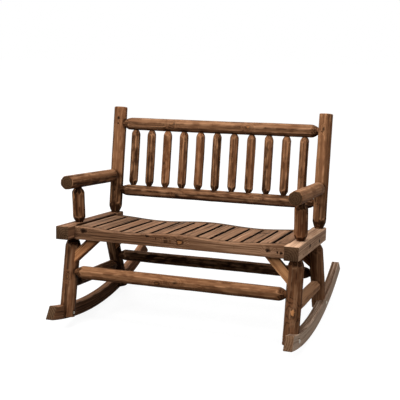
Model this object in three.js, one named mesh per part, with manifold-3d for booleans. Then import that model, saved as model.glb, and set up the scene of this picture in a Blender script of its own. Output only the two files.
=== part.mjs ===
// A two-seat rocking bench of peeled softwood logs on two curved rockers.
// Millimetres, +Z up. The sitter faces -Y, and +X is to the right seen from the front.
// The bench is drawn with its seat beams level. There y is measured from the front end
// of the beams and z from the lowest point of the rockers' arc. The last step tips the
// whole bench back to the slope at which it balances on its rockers.

import * as THREE from 'three';
import { mergeVertices } from 'three/addons/utils/BufferGeometryUtils.js';
import Module from 'manifold-3d';

const wasm = await Module();
wasm.setup();

const degree = Math.PI / 180;
const sides = [['left', -1], ['right', 1]];

// Fits between pieces
const fit = 0.3;
const overrun = 80;
const weldDistance = 0.0001;

// Side frames: both legs, both posts, the arm and the lap of the rocker share this plane
const sideX = 548;

// Rockers, sawn to an arc; the facets of the arc are short enough to roll on
const rockerRadius = 1540;
const rockerCentreY = 256;
const rockerHeight = 64;
const rockerThickness = 39;
const rockerFrontY = -80;
const rockerRearReach = 396;
const rockerEndSlant = 22;
const rockerFacetLength = 40;
const restTilt = 6.2;
const footLift = 11;

// Seat beams, the squared timbers under the arms
const beamTop = 466;
const beamHeight = 62;
const beamWidth = 65;
const beamLength = 587;
const beamEdge = 2.5;
const beamRearCorner = 14;

// Seat rails, scooped twice along the top and rebated for the slats
const frontRailY = 57;
const rearRailInset = 87;
const railDepth = 62;
const railLip = 34;
const rearRailLip = 30;
const railBottom = 400;
const saddleTop = 460;
const saddleDepth = 12;
const railTenonLength = 13;
const railTenonHeight = 34;
const railTenonThickness = 30;

// Seat slats
const slatThickness = 20;
const slatGap = 11;
const slatEdge = 2.5;
const slatWidthShares = [1.02, 1.04, 0.97, 1.06, 1.03, 1.08, 0.95, 1.0, 0.89, 1.04, 0.94, 1.05, 0.96, 0.99];

// Back posts
const postRadius = 33;
const postInset = 40;
const postLean = 5.7;
const postTop = 1018;
const postTenonRadius = 20.5;

// Back rails and spindles
const topRailRadius = 31;
const topRailZ = 933;
const lowRailRadius = 28;
const lowRailZ = 586;
const backRailTaper = 34;
const spindleCount = 11;
const spindleInset = 96;
const spindleRadius = 22;
const spindleTenonRadius = 13;
const spindleTenonLength = 20;
const spindleTaper = 28;

// Arms and their posts; the arm posts lean forward, the back posts back
const armRadius = 32;
const armFrontY = 41;
const armFrontZ = 667;
const armRearZ = 662;
const armTaper = 40;
const armPostRadius = 30;
const armPostY = 164;
const armPostLean = 5;
const armPostTenonRadius = 17.5;
const armPostTenonLength = 28;
const armPostTaper = 30;

// Legs; a positive lean carries the foot back
const frontLegRadius = 35;
const frontLegY = 111;
const frontLegLean = -9;
const rearLegRadius = 34;
const rearLegInset = 103;
const rearLegLean = 23;
const legTaper = 46;

// Stretchers
const frontStretcherRadius = 29.5;
const frontStretcherZ = 238;
const rearStretcherRadius = 28;
const rearStretcherZ = 238;
const sideStretcherRadius = 28.5;
const sideStretcherZ = 184;
const stretcherTaper = 32;

// Sawn log ends, and the tenons turned on the other ends
const sawnChamfer = 3;
const tenonRadius = 18.5;
const tenonLength = 42;
const legTenonLength = 44;
const neck = 2;
const coneLengthShare = 0.5;
const coneRadiusShare = 0.68;
const logSides = 16;
const spindleSides = 12;

// Braces, set at half a right angle in the plane of the legs
const braceWidth = 42;
const braceThickness = 38;
const braceAngle = 45;
const braceFootZ = 319;
const braceScrewInset = 15;
const frontBraceShift = -4;
const rearBraceShift = -5;

// Drilled pits for the wood screws that pin the tenons
const pitRadius = 4.8;
const pitDepth = 8;
const pitSides = 8;
const tenonPinInset = 6;
const armPostPinDrop = 15;

// Rocker bolts with a domed head outside and a nut in a spot face inside
const boltRadius = 4;
const boltHeadRadius = 9;
const boltHeadHeight = 4.5;
const domeShare = 0.62;
const domeHeightShare = 0.8;
const boltSides = 12;
const spotFaceRadius = 12;
const spotFaceDepth = 9;
const flangeRadius = 10;
const flangeThickness = 2;
const nutRadius = 7.5;
const nutThickness = 6.5;
const nutSides = 12;
const boltProud = 2;
const rearBoltShift = 8;

// Turns a three.js geometry into a solid: welds it, drops empty triangles, faces it outwards.
function solid(geometry) {
  const bare = geometry.clone();
  bare.deleteAttribute('normal');
  bare.deleteAttribute('uv');
  const welded = mergeVertices(bare, weldDistance);
  const position = welded.getAttribute('position');
  const index = welded.getIndex().array;
  const corners = [new THREE.Vector3(), new THREE.Vector3(), new THREE.Vector3()];
  const triangles = [];
  let volume = 0;
  for (let i = 0; i < index.length; i += 3) {
    const triangle = [index[i], index[i + 1], index[i + 2]];
    if (new Set(triangle).size < 3) continue;
    corners.forEach((corner, k) => corner.fromBufferAttribute(position, triangle[k]));
    volume += corners[0].dot(corners[1].clone().cross(corners[2]));
    triangles.push(triangle);
  }
  if (volume < 0) triangles.forEach((triangle) => triangle.reverse());
  return new wasm.Manifold(new wasm.Mesh({
    numProp: 3,
    vertProperties: new Float32Array(position.array),
    triVerts: new Uint32Array(triangles.flat()),
  }));
}

// Extrudes an outline of [y, z] points from x0 to x1.
function extrudeX(points, x0, x1) {
  const shape = new THREE.Shape(points.map(([y, z]) => new THREE.Vector2(y, z)));
  const geometry = new THREE.ExtrudeGeometry(shape, { depth: x1 - x0, bevelEnabled: false });
  const axes = new THREE.Matrix4().makeBasis(
    new THREE.Vector3(0, 1, 0), new THREE.Vector3(0, 0, 1), new THREE.Vector3(1, 0, 0));
  geometry.applyMatrix4(axes.setPosition(x0, 0, 0));
  return solid(geometry);
}

// Extrudes an outline of [x, z] points from y0 to y1.
function extrudeY(points, y0, y1) {
  const shape = new THREE.Shape(points.map(([x, z]) => new THREE.Vector2(x, z)));
  const geometry = new THREE.ExtrudeGeometry(shape, { depth: y1 - y0, bevelEnabled: false });
  const axes = new THREE.Matrix4().makeBasis(
    new THREE.Vector3(1, 0, 0), new THREE.Vector3(0, 0, 1), new THREE.Vector3(0, -1, 0));
  geometry.applyMatrix4(axes.setPosition(0, y1, 0));
  return solid(geometry);
}

function block(x0, x1, y0, y1, z0, z1) {
  const geometry = new THREE.BoxGeometry(x1 - x0, y1 - y0, z1 - z0);
  geometry.translate((x0 + x1) / 2, (y0 + y1) / 2, (z0 + z1) / 2);
  return solid(geometry);
}

// Revolves [radius, distance] points about the line from a point along a direction.
function revolve(profile, from, direction, segments) {
  const points = profile.map(([radius, distance]) => new THREE.Vector2(radius, distance));
  const geometry = new THREE.LatheGeometry(points, segments);
  const turn = new THREE.Quaternion().setFromUnitVectors(new THREE.Vector3(0, 1, 0), direction);
  geometry.applyMatrix4(new THREE.Matrix4().compose(from, turn, new THREE.Vector3(1, 1, 1)));
  return solid(geometry);
}

// A unit vector in the side plane: straight up, or leant so that a foot below goes back.
function upAlong(lean) {
  return new THREE.Vector3(0, -Math.sin(lean * degree), Math.cos(lean * degree));
}

// The point at height z on a line through (x, y, z0) with that lean.
function onLine(x, y, z0, lean, z) {
  return new THREE.Vector3(x, y - (z - z0) * Math.tan(lean * degree), z);
}

// Logs. Each runs between its two seats. A tenoned end goes on past its seat, and a
// neck and a cone lead from the tenon to the full log. A sawn end stops at its seat.
function tenoned(radius, length, taper, neckLength = neck) {
  return { radius, length, taper, neckLength };
}

const sawnEnd = { chamfer: sawnChamfer };

// A tenon that goes in at a lean has a longer neck, so that its cone clears the seat.
function leantNeck(radius, lean) {
  return neck + radius * Math.abs(Math.tan(lean * degree));
}

function endProfile(end, radius) {
  if (end.chamfer !== undefined) {
    return [[0, 0], [radius - end.chamfer, 0], [radius, end.chamfer]];
  }
  const swell = end.radius + (radius - end.radius) * coneRadiusShare;
  return [
    [0, -end.length],
    [end.radius, -end.length],
    [end.radius, end.neckLength],
    [swell, end.neckLength + end.taper * coneLengthShare],
    [radius, end.neckLength + end.taper],
  ];
}

function makeLog(log, growth = 0) {
  const length = log.from.distanceTo(log.to);
  const direction = log.to.clone().sub(log.from).normalize();
  const start = endProfile(log.start, log.radius);
  const end = endProfile(log.end, log.radius).map(([radius, distance]) => [radius, length - distance]);
  const profile = [...start, ...end.reverse()];
  const grown = profile.map(([radius, distance]) => [radius > 0 ? radius + growth : 0, distance]);
  return revolve(grown, log.from, direction, log.segments ?? logSides);
}

// The hole that a tenoned end needs, with its fit all round.
function socket(log, which) {
  const end = log[which];
  const length = log.from.distanceTo(log.to);
  const direction = log.to.clone().sub(log.from).normalize();
  const profile = [
    [0, -end.length - fit],
    [end.radius + fit, -end.length - fit],
    [end.radius + fit, end.neckLength],
    [0, end.neckLength],
  ];
  const along = which === 'start' ? profile : profile.map(([radius, d]) => [radius, length - d]).reverse();
  return revolve(along, log.from, direction, log.segments ?? logSides);
}

const pieces = new Map();

function cut(name, tool) {
  pieces.set(name, pieces.get(name).subtract(tool));
}

// The pit drilled for a screw head, square to the way that the screw goes in.
function drillPit(name, entry, direction) {
  const hole = [[0, -overrun], [pitRadius, -overrun], [pitRadius, pitDepth], [0, pitDepth]];
  cut(name, revolve(hole, entry, direction, pitSides));
}

// Rockers. All outlines on them are ring sectors about the centre of the arc, with the
// corners of their facets on one set of angles, so that what lies on them fits.
const facetAngle = rockerFacetLength / rockerRadius;
const contactAngle = restTilt * degree;

function ringPoint(radius, angle) {
  return [rockerCentreY + radius * Math.sin(angle), rockerRadius - radius * Math.cos(angle)];
}

function ringArc(radius, fromAngle, toAngle) {
  const points = [ringPoint(radius, fromAngle)];
  const first = Math.ceil((fromAngle - contactAngle) / facetAngle - 0.5);
  for (let k = first; contactAngle + (k + 0.5) * facetAngle < toAngle; k += 1) {
    const angle = contactAngle + (k + 0.5) * facetAngle;
    if (angle > fromAngle) points.push(ringPoint(radius, angle));
  }
  points.push(ringPoint(radius, toAngle));
  return points;
}

const rockerTopRadius = rockerRadius - rockerHeight;
const rockerRearY = beamLength + rockerRearReach;
const rockerFrontAngle = Math.asin((rockerFrontY - rockerCentreY) / rockerRadius);
const rockerRearAngle = Math.asin((rockerRearY - rockerCentreY) / rockerRadius);
const slantAngle = rockerEndSlant / rockerTopRadius;

function sideSpan(side, inner, outer) {
  return side > 0 ? [inner, outer] : [-outer, -inner];
}

for (const [word, side] of sides) {
  const outline = [
    ...ringArc(rockerRadius, rockerFrontAngle, rockerRearAngle),
    ...ringArc(rockerTopRadius, rockerFrontAngle + slantAngle, rockerRearAngle - slantAngle).reverse(),
  ];
  pieces.set(`rocker_${word}`, extrudeX(outline, ...sideSpan(side, sideX, sideX + rockerThickness)));
}

// Legs. The top is tenoned into the beam. The foot is halved round the rocker: its outer
// half stands on the rocker and its inner half runs down the rocker's inner face.
const beamBottom = beamTop - beamHeight;
const legs = {
  front: { y: frontLegY, lean: frontLegLean, radius: frontLegRadius, boltShift: 0 },
  rear: { y: beamLength - rearLegInset, lean: rearLegLean, radius: rearLegRadius, boltShift: rearBoltShift },
};

function legPoint(leg, x, z) {
  return onLine(x, leg.y, beamBottom, leg.lean, z);
}

// Where the axis of a leg crosses the circle of that radius about the rocker's centre.
function legAtRadius(leg, x, radius) {
  const down = upAlong(leg.lean).negate();
  const offset = new THREE.Vector3(0, leg.y - rockerCentreY, beamBottom - rockerRadius);
  const along = offset.dot(down);
  const reach = -along + Math.sqrt(along * along - offset.lengthSq() + radius * radius);
  return new THREE.Vector3(x, leg.y, beamBottom).addScaledVector(down, reach);
}

function halvedFoot(side) {
  const angles = [rockerFrontAngle - slantAngle, rockerRearAngle + slantAngle];
  const below = rockerRadius + overrun;
  const lap = [
    ...ringArc(rockerTopRadius - fit, ...angles),
    ...ringArc(below, ...angles).reverse(),
  ];
  const sole = [
    ...ringArc(rockerRadius - footLift, ...angles),
    ...ringArc(below, ...angles).reverse(),
  ];
  const lapCut = extrudeX(lap, ...sideSpan(side, sideX - fit, sideX + rockerThickness + overrun));
  return lapCut.add(extrudeX(sole, ...sideSpan(side, sideX - overrun, sideX + overrun)));
}

for (const [word, side] of sides) {
  const foot = halvedFoot(side);
  for (const [place, leg] of Object.entries(legs)) {
    const log = {
      from: legPoint(leg, side * sideX, beamBottom),
      to: legAtRadius(leg, side * sideX, rockerRadius + leg.radius),
      radius: leg.radius,
      start: tenoned(tenonRadius, legTenonLength, legTaper, leantNeck(tenonRadius, leg.lean)),
      end: sawnEnd,
    };
    leg[word] = log;
    pieces.set(`${place}_leg_${word}`, makeLog(log).subtract(foot));
  }
}

// Seat beams
const beamInnerX = sideX - beamWidth / 2;

function roundedRear(x0, x1) {
  const shape = new THREE.Shape();
  const rear = beamLength - beamRearCorner;
  shape.moveTo(x0, 0);
  shape.lineTo(x1, 0);
  shape.lineTo(x1, rear);
  shape.absarc(x1 - beamRearCorner, rear, beamRearCorner, 0, Math.PI / 2, false);
  shape.lineTo(x0 + beamRearCorner, beamLength);
  shape.absarc(x0 + beamRearCorner, rear, beamRearCorner, Math.PI / 2, Math.PI, false);
  return shape;
}

for (const [word, side] of sides) {
  const [x0, x1] = sideSpan(side, beamInnerX, beamInnerX + beamWidth);
  const geometry = new THREE.ExtrudeGeometry(roundedRear(x0, x1), {
    depth: beamHeight - 2 * beamEdge,
    bevelThickness: beamEdge,
    bevelSize: beamEdge,
    bevelOffset: -beamEdge,
    bevelSegments: 1,
    curveSegments: 4,
  });
  geometry.translate(0, 0, beamBottom + beamEdge);
  pieces.set(`seat_beam_${word}`, solid(geometry));
  for (const leg of Object.values(legs)) cut(`seat_beam_${word}`, socket(leg[word], 'start'));
}

// Seat rails and slats. The tops follow one double saddle: high at the middle and the
// ends, low under each seat. Each slat lies on its own flat of that curve.
const shoulderX = beamInnerX - fit;

function saddle(x) {
  const share = x / beamInnerX;
  return saddleTop - saddleDepth * (1 - Math.cos(2 * Math.PI * share)) / 2;
}

const slatSpan = 2 * beamInnerX;
const shareSum = slatWidthShares.reduce((sum, share) => sum + share, 0);
const slats = [];
let slatStart = -slatSpan / 2;
for (const share of slatWidthShares) {
  const end = slatStart + slatSpan * share / shareSum;
  slats.push({ left: slatStart + slatGap / 2, right: end - slatGap / 2 });
  slatStart = end;
}

function railProfile(drop) {
  const top = slats.flatMap((slat) => [slat.left, slat.right]);
  top[0] = -shoulderX;
  top[top.length - 1] = shoulderX;
  const points = top.map((x) => [x, saddle(x) - drop]);
  return [[-shoulderX, railBottom], [shoulderX, railBottom], ...points.reverse()];
}

const slatSeatDrop = slatThickness + fit;
const rearRailY = beamLength - rearRailInset;
const slatFrontY = frontRailY + railLip + fit;
const slatRearY = rearRailY - rearRailLip - fit;

const rails = {
  front: { y0: frontRailY, y1: frontRailY + railDepth, lip: [frontRailY, frontRailY + railLip] },
  rear: { y0: rearRailY - railDepth, y1: rearRailY, lip: [rearRailY - rearRailLip, rearRailY] },
};

for (const [place, rail] of Object.entries(rails)) {
  const ledge = extrudeY(railProfile(slatSeatDrop), rail.y0, rail.y1);
  const lip = extrudeY(railProfile(0), ...rail.lip);
  const tenonY = (rail.y0 + rail.y1 - railTenonThickness) / 2;
  const tenonZ = (railBottom + saddle(beamInnerX) - slatSeatDrop - railTenonHeight) / 2 + fit;
  const tenonX = [shoulderX - railTenonLength, shoulderX + railTenonLength];
  let body = ledge.add(lip);
  for (const [word, side] of sides) {
    const span = sideSpan(side, ...tenonX);
    body = body.add(block(...span, tenonY, tenonY + railTenonThickness, tenonZ, tenonZ + railTenonHeight));
    cut(`seat_beam_${word}`, block(
      span[0] - fit, span[1] + fit,
      tenonY - fit, tenonY + railTenonThickness + fit,
      tenonZ - fit, tenonZ + railTenonHeight + fit));
  }
  pieces.set(`seat_${place}_rail`, body);
  rail.tenonMiddleY = (rail.y0 + rail.y1) / 2;
  rail.tenonMiddleZ = tenonZ + railTenonHeight / 2;
}

slats.forEach((slat, i) => {
  const zLeft = saddle(slat.left);
  const zRight = saddle(slat.right);
  const outline = [
    [slat.left, zLeft - slatThickness],
    [slat.right, zRight - slatThickness],
    [slat.right, zRight - slatEdge],
    [slat.right - slatEdge, zRight],
    [slat.left + slatEdge, zLeft],
    [slat.left, zLeft - slatEdge],
  ];
  const number = String(i + 1).padStart(2, '0');
  pieces.set(`seat_slat_${number}`, extrudeY(outline, slatFrontY, slatRearY));
});

// Back: two leaning posts, two rails between them and a row of spindles
const backLean = -postLean;
const postY = beamLength - postInset;
const posts = {};

function backPoint(x, z) {
  return onLine(x, postY, beamTop, backLean, z);
}

for (const [word, side] of sides) {
  posts[word] = {
    from: backPoint(side * sideX, beamTop),
    to: backPoint(side * sideX, postTop),
    radius: postRadius,
    start: tenoned(postTenonRadius, legTenonLength, legTaper, leantNeck(postTenonRadius, postLean)),
    end: sawnEnd,
  };
  pieces.set(`back_post_${word}`, makeLog(posts[word]));
  cut(`seat_beam_${word}`, socket(posts[word], 'start'));
}

function crossLog(leftPoint, radius, taper) {
  const rightPoint = leftPoint.clone();
  rightPoint.x = -leftPoint.x;
  const end = tenoned(tenonRadius, tenonLength, taper);
  return { from: leftPoint, to: rightPoint, radius, start: end, end };
}

const backRails = {
  top: crossLog(backPoint(-(sideX - postRadius), topRailZ), topRailRadius, backRailTaper),
  lower: crossLog(backPoint(-(sideX - postRadius), lowRailZ), lowRailRadius, backRailTaper),
};

for (const [place, log] of Object.entries(backRails)) {
  pieces.set(`back_${place}_rail`, makeLog(log));
  cut('back_post_left', socket(log, 'start'));
  cut('back_post_right', socket(log, 'end'));
}

const backUp = upAlong(backLean);
const spindlePitch = 2 * (sideX - spindleInset) / (spindleCount - 1);
for (let i = 0; i < spindleCount; i += 1) {
  const x = (i - (spindleCount - 1) / 2) * spindlePitch;
  const end = tenoned(spindleTenonRadius, spindleTenonLength, spindleTaper);
  const log = {
    from: backPoint(x, lowRailZ).addScaledVector(backUp, lowRailRadius),
    to: backPoint(x, topRailZ).addScaledVector(backUp, -topRailRadius),
    radius: spindleRadius,
    start: end,
    end,
    segments: spindleSides,
  };
  pieces.set(`back_spindle_${String(i + 1).padStart(2, '0')}`, makeLog(log));
  cut('back_lower_rail', socket(log, 'start'));
  cut('back_top_rail', socket(log, 'end'));
}

// Arms and arm posts
for (const [word, side] of sides) {
  const front = new THREE.Vector3(side * sideX, armFrontY, armFrontZ);
  const axisAtPost = backPoint(side * sideX, armRearZ);
  const toPost = axisAtPost.clone().sub(front).normalize();
  const arm = {
    from: front,
    to: axisAtPost.clone().addScaledVector(toPost, -postRadius / Math.cos(postLean * degree)),
    radius: armRadius,
    start: sawnEnd,
    end: tenoned(tenonRadius, tenonLength, armTaper, leantNeck(tenonRadius, postLean)),
  };
  pieces.set(`armrest_${word}`, makeLog(arm));
  cut(`back_post_${word}`, socket(arm, 'end'));

  const armSlope = (armRearZ - armFrontZ) / (axisAtPost.y - armFrontY);
  const postUp = upAlong(armPostLean);
  const postNeck = leantNeck(armPostTenonRadius, armPostLean);
  const base = new THREE.Vector3(side * sideX, armPostY, beamTop);
  const underArm = armFrontZ + armSlope * (armPostY - armFrontY) - armRadius / Math.cos(Math.atan(armSlope));
  const armPost = {
    from: base,
    to: base.clone().addScaledVector(postUp, (underArm - beamTop) / postUp.z),
    radius: armPostRadius,
    start: tenoned(armPostTenonRadius, tenonLength, armPostTaper, postNeck),
    end: tenoned(armPostTenonRadius, armPostTenonLength, armPostTaper, postNeck),
  };
  pieces.set(`arm_post_${word}`, makeLog(armPost));
  cut(`seat_beam_${word}`, socket(armPost, 'start'));
  cut(`armrest_${word}`, socket(armPost, 'end'));
}

// Stretchers between the legs
const stretchers = {
  front: { leg: legs.front, z: frontStretcherZ, radius: frontStretcherRadius },
  rear: { leg: legs.rear, z: rearStretcherZ, radius: rearStretcherRadius },
};

for (const [place, stretcher] of Object.entries(stretchers)) {
  const seatX = -(sideX - stretcher.leg.radius);
  const log = crossLog(legPoint(stretcher.leg, seatX, stretcher.z), stretcher.radius, stretcherTaper);
  pieces.set(`${place}_stretcher`, makeLog(log));
  cut(`${place}_leg_left`, socket(log, 'start'));
  cut(`${place}_leg_right`, socket(log, 'end'));
}

for (const [word, side] of sides) {
  const x = side * sideX;
  const frontFace = legs.front.radius / Math.cos(legs.front.lean * degree);
  const rearFace = legs.rear.radius / Math.cos(legs.rear.lean * degree);
  const log = {
    from: legPoint(legs.front, x, sideStretcherZ).add(new THREE.Vector3(0, frontFace, 0)),
    to: legPoint(legs.rear, x, sideStretcherZ).add(new THREE.Vector3(0, -rearFace, 0)),
    radius: sideStretcherRadius,
    start: tenoned(tenonRadius, tenonLength, stretcherTaper, leantNeck(tenonRadius, frontLegLean)),
    end: tenoned(tenonRadius, tenonLength, stretcherTaper, leantNeck(tenonRadius, rearLegLean)),
  };
  pieces.set(`side_stretcher_${word}`, makeLog(log));
  cut(`front_leg_${word}`, socket(log, 'start'));
  cut(`rear_leg_${word}`, socket(log, 'end'));
}

// Braces. Each lies in the plane of its pair of legs, coped round the leg at its foot
// and cut level under the seat rail.
const braceHalf = braceWidth / 2;
const braceCos = Math.cos(braceAngle * degree);
const braceSin = Math.sin(braceAngle * degree);

function makeBrace(side, leg, shift) {
  const up = upAlong(leg.lean);
  const back = new THREE.Vector3(0, up.z, -up.y);
  const foot = legPoint(leg, side * (sideX - leg.radius), braceFootZ).addScaledVector(back, shift);
  const reach = (railBottom - braceFootZ) / braceSin + braceWidth;
  const outline = [[-leg.radius, -braceHalf], [reach, -braceHalf], [reach, braceHalf], [-leg.radius, braceHalf]];
  const shape = new THREE.Shape(outline.map(([along, across]) => new THREE.Vector2(along, across)));
  const geometry = new THREE.ExtrudeGeometry(shape, { depth: braceThickness, bevelEnabled: false });
  const rise = up.clone().multiplyScalar(braceSin).add(new THREE.Vector3(-side * braceCos, 0, 0));
  const across = up.clone().multiplyScalar(braceCos).add(new THREE.Vector3(side * braceSin, 0, 0));
  geometry.translate(0, 0, -braceThickness / 2);
  geometry.applyMatrix4(new THREE.Matrix4().makeBasis(rise, across, back).setPosition(foot));
  return solid(geometry);
}

const braceSets = [['front', frontBraceShift], ['rear', rearBraceShift]];
for (const [place, shift] of braceSets) {
  for (const [word, side] of sides) {
    const leg = legs[place];
    const rail = rails[place];
    const name = `brace_${place}_${word}`;
    const above = block(-sideX, sideX, rail.y0 - overrun, rail.y1 + overrun, railBottom - fit, beamTop);
    pieces.set(name, makeBrace(side, leg, shift).subtract(above).subtract(makeLog(leg[word], fit)));
    const back = new THREE.Vector3(0, upAlong(leg.lean).z, -upAlong(leg.lean).y);
    const lowerEdge = braceHalf / braceCos;
    const footZ = braceFootZ - lowerEdge + braceScrewInset;
    const footEntry = legPoint(leg, side * (sideX - leg.radius - braceScrewInset), footZ);
    drillPit(name, footEntry.addScaledVector(back, shift), new THREE.Vector3(side, 0, 0));
    const topZ = railBottom - braceScrewInset;
    const topX = sideX - leg.radius - (topZ - braceFootZ + lowerEdge);
    const topEntry = legPoint(leg, side * topX, topZ);
    drillPit(name, topEntry.addScaledVector(back, shift), new THREE.Vector3(0, 0, 1));
  }
}

// Pits for the screws that go through posts, legs and beams into the tenons
const forward = new THREE.Vector3(0, -1, 0);
const backward = new THREE.Vector3(0, 1, 0);
const pinX = sideX - tenonPinInset;

for (const [word, side] of sides) {
  const inward = new THREE.Vector3(-side, 0, 0);
  for (const log of Object.values(backRails)) {
    const entry = new THREE.Vector3(side * pinX, log.from.y - postRadius, log.from.z);
    drillPit(`back_post_${word}`, entry, backward);
  }
  for (const [place, stretcher] of Object.entries(stretchers)) {
    const outward = place === 'front' ? -1 : 1;
    const entry = legPoint(stretcher.leg, side * pinX, stretcher.z);
    entry.y += outward * stretcher.leg.radius / Math.cos(stretcher.leg.lean * degree);
    drillPit(`${place}_leg_${word}`, entry, place === 'front' ? backward : forward);
  }
  for (const [place, leg] of Object.entries(legs)) {
    const towards = place === 'front' ? 1 : -1;
    const entry = legPoint(leg, side * (sideX + leg.radius), sideStretcherZ);
    entry.y += towards * tenonPinInset;
    drillPit(`${place}_leg_${word}`, entry, inward);
  }
  for (const rail of Object.values(rails)) {
    const entry = new THREE.Vector3(side * (beamInnerX + beamWidth), rail.tenonMiddleY, rail.tenonMiddleZ);
    drillPit(`seat_beam_${word}`, entry, inward);
  }
  const pin = new THREE.Vector3(side * (beamInnerX + beamWidth), armPostY, beamTop - armPostPinDrop);
  drillPit(`seat_beam_${word}`, pin, inward);
}

// Bolts through each rocker and the cheek of each leg, with flanged nuts inside. A bolt
// may be set along the rocker from the axis of its leg.
function boltCentre(leg, x) {
  const radius = rockerRadius - rockerHeight / 2;
  const onAxis = legAtRadius(leg, x, radius);
  const angle = Math.atan2(onAxis.y - rockerCentreY, rockerRadius - onAxis.z) + leg.boltShift / radius;
  return new THREE.Vector3(x, ...ringPoint(radius, angle));
}

for (const [word, side] of sides) {
  for (const [place, leg] of Object.entries(legs)) {
    const inward = new THREE.Vector3(-side, 0, 0);
    const centre = boltCentre(leg, side * (sideX + rockerThickness + fit));
    const toSpotFace = rockerThickness + fit + leg.radius - spotFaceDepth;
    const flangeFrom = toSpotFace + fit;
    const nutFrom = flangeFrom + flangeThickness;
    const nutTo = nutFrom + nutThickness;
    const boltEnd = nutTo + boltProud;
    const bore = boltRadius + fit;
    pieces.set(`rocker_bolt_${place}_${word}`, revolve([
      [0, -boltHeadHeight],
      [boltHeadRadius * domeShare, -boltHeadHeight * domeHeightShare],
      [boltHeadRadius, -fit],
      [boltHeadRadius, 0],
      [boltRadius, 0],
      [boltRadius, boltEnd],
      [0, boltEnd],
    ], centre, inward, boltSides));
    pieces.set(`rocker_nut_${place}_${word}`, revolve([
      [bore, flangeFrom],
      [flangeRadius, flangeFrom],
      [flangeRadius, nutFrom],
      [nutRadius, nutFrom],
      [nutRadius, nutTo],
      [bore, nutTo],
      [bore, flangeFrom],
    ], centre, inward, nutSides));
    const hole = revolve([
      [0, -overrun],
      [bore, -overrun],
      [bore, toSpotFace],
      [spotFaceRadius, toSpotFace],
      [spotFaceRadius, toSpotFace + overrun],
      [0, toSpotFace + overrun],
    ], centre, inward, boltSides);
    cut(`${place}_leg_${word}`, hole);
    cut(`rocker_${word}`, hole);
  }
}

// Finishes, the first that fits a piece's name
const finishes = [
  [/^rocker_(bolt|nut)/, { color: 0xa8a296, roughness: 0.42, metalness: 1 }],
  [/^rocker/, { color: 0x614636, roughness: 0.76, metalness: 0 }],
  [/^seat_slat/, { color: 0x8a6248, roughness: 0.74, metalness: 0 }],
  [/^seat/, { color: 0x5f4535, roughness: 0.76, metalness: 0 }],
  [/^brace/, { color: 0x7a5438, roughness: 0.74, metalness: 0 }],
  [/./, { color: 0x6e4b34, roughness: 0.72, metalness: 0 }],
].map(([pattern, look]) => [pattern, new THREE.MeshStandardMaterial(look)]);

function finishOf(name) {
  return finishes.find(([pattern]) => pattern.test(name))[1];
}

function toMesh(name, manifold, material) {
  const data = manifold.getMesh();
  const geometry = new THREE.BufferGeometry();
  const position = new Float32Array(data.vertProperties);
  geometry.setAttribute('position', new THREE.BufferAttribute(position, 3));
  geometry.setIndex(new THREE.BufferAttribute(new Uint32Array(data.triVerts), 1));
  geometry.computeVertexNormals();
  const mesh = new THREE.Mesh(geometry, material);
  mesh.name = name;
  return mesh;
}

const bench = new THREE.Group();
for (const [name, manifold] of pieces) bench.add(toMesh(name, manifold, finishOf(name)));

// Tip the bench back about the centre of the rockers' arc until the flat of the arc that
// carries it lies on the floor, and centre its depth on the origin.
bench.rotation.x = -contactAngle;
bench.updateMatrixWorld(true);
const box = new THREE.Box3().setFromObject(bench, true);
bench.position.set(0, -(box.min.y + box.max.y) / 2, -box.min.z);

const group = new THREE.Group();
group.add(bench);
export default group;
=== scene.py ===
# A two-seat rocking bench of stained, hand-hewn softwood logs on two curved rockers.
# Metres, +Z up. The sitter faces -Y, and +X is to the right seen from the front.
# The bench stands tipped back on its rockers. Design places are written in its level
# frame, with y from the front end of the seat beams and z from the lowest point of the
# rockers' arc, and the matrix `stand` carries them to the floor.

import math
import random
from collections import namedtuple
from functools import partial

import bpy
import numpy as np
from mathutils import Matrix, Vector
from mathutils.geometry import intersect_line_line
from mathutils.kdtree import KDTree


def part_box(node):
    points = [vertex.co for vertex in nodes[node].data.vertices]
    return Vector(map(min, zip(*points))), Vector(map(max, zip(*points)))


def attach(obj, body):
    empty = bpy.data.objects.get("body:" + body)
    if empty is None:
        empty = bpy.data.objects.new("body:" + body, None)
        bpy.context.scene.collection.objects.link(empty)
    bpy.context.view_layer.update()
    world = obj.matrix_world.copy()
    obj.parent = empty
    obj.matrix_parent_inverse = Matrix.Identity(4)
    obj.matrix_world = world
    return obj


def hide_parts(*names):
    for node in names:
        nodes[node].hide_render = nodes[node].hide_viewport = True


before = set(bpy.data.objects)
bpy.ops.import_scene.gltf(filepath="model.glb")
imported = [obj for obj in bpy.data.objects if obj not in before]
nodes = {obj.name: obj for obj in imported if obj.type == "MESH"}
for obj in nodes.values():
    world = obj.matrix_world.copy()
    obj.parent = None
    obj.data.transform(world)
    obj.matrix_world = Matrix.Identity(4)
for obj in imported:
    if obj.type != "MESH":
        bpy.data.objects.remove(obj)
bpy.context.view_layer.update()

SIDES = (("left", -1), ("right", 1))
PLACES = ("front", "rear")
INWARD = {"front": 1, "rear": -1}
BACK_RAILS = ("back_top_rail", "back_lower_rail")
SQUARE = ((-1, -1), (1, -1), (1, 1), (-1, 1))
MM = 0.001
FIT = 0.3 * MM

# Stance on the floor
TILT = math.radians(6.2)
ROLL_RADIUS = 1.54
ROLL_CENTRE_Y = 0.256
TOUCH = 0.5 * MM

# Rockers
ROCKER_HEIGHT = 0.064
ROCKER_TOP_RADIUS = ROLL_RADIUS - ROCKER_HEIGHT
ROCKER_FRONT_ANGLE = math.asin((-0.080 - ROLL_CENTRE_Y) / ROLL_RADIUS)
ROCKER_REAR_ANGLE = math.asin((0.983 - ROLL_CENTRE_Y) / ROLL_RADIUS)
ROCKER_END_SLANT = 0.022
FOOT_LIFT = 0.011

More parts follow.
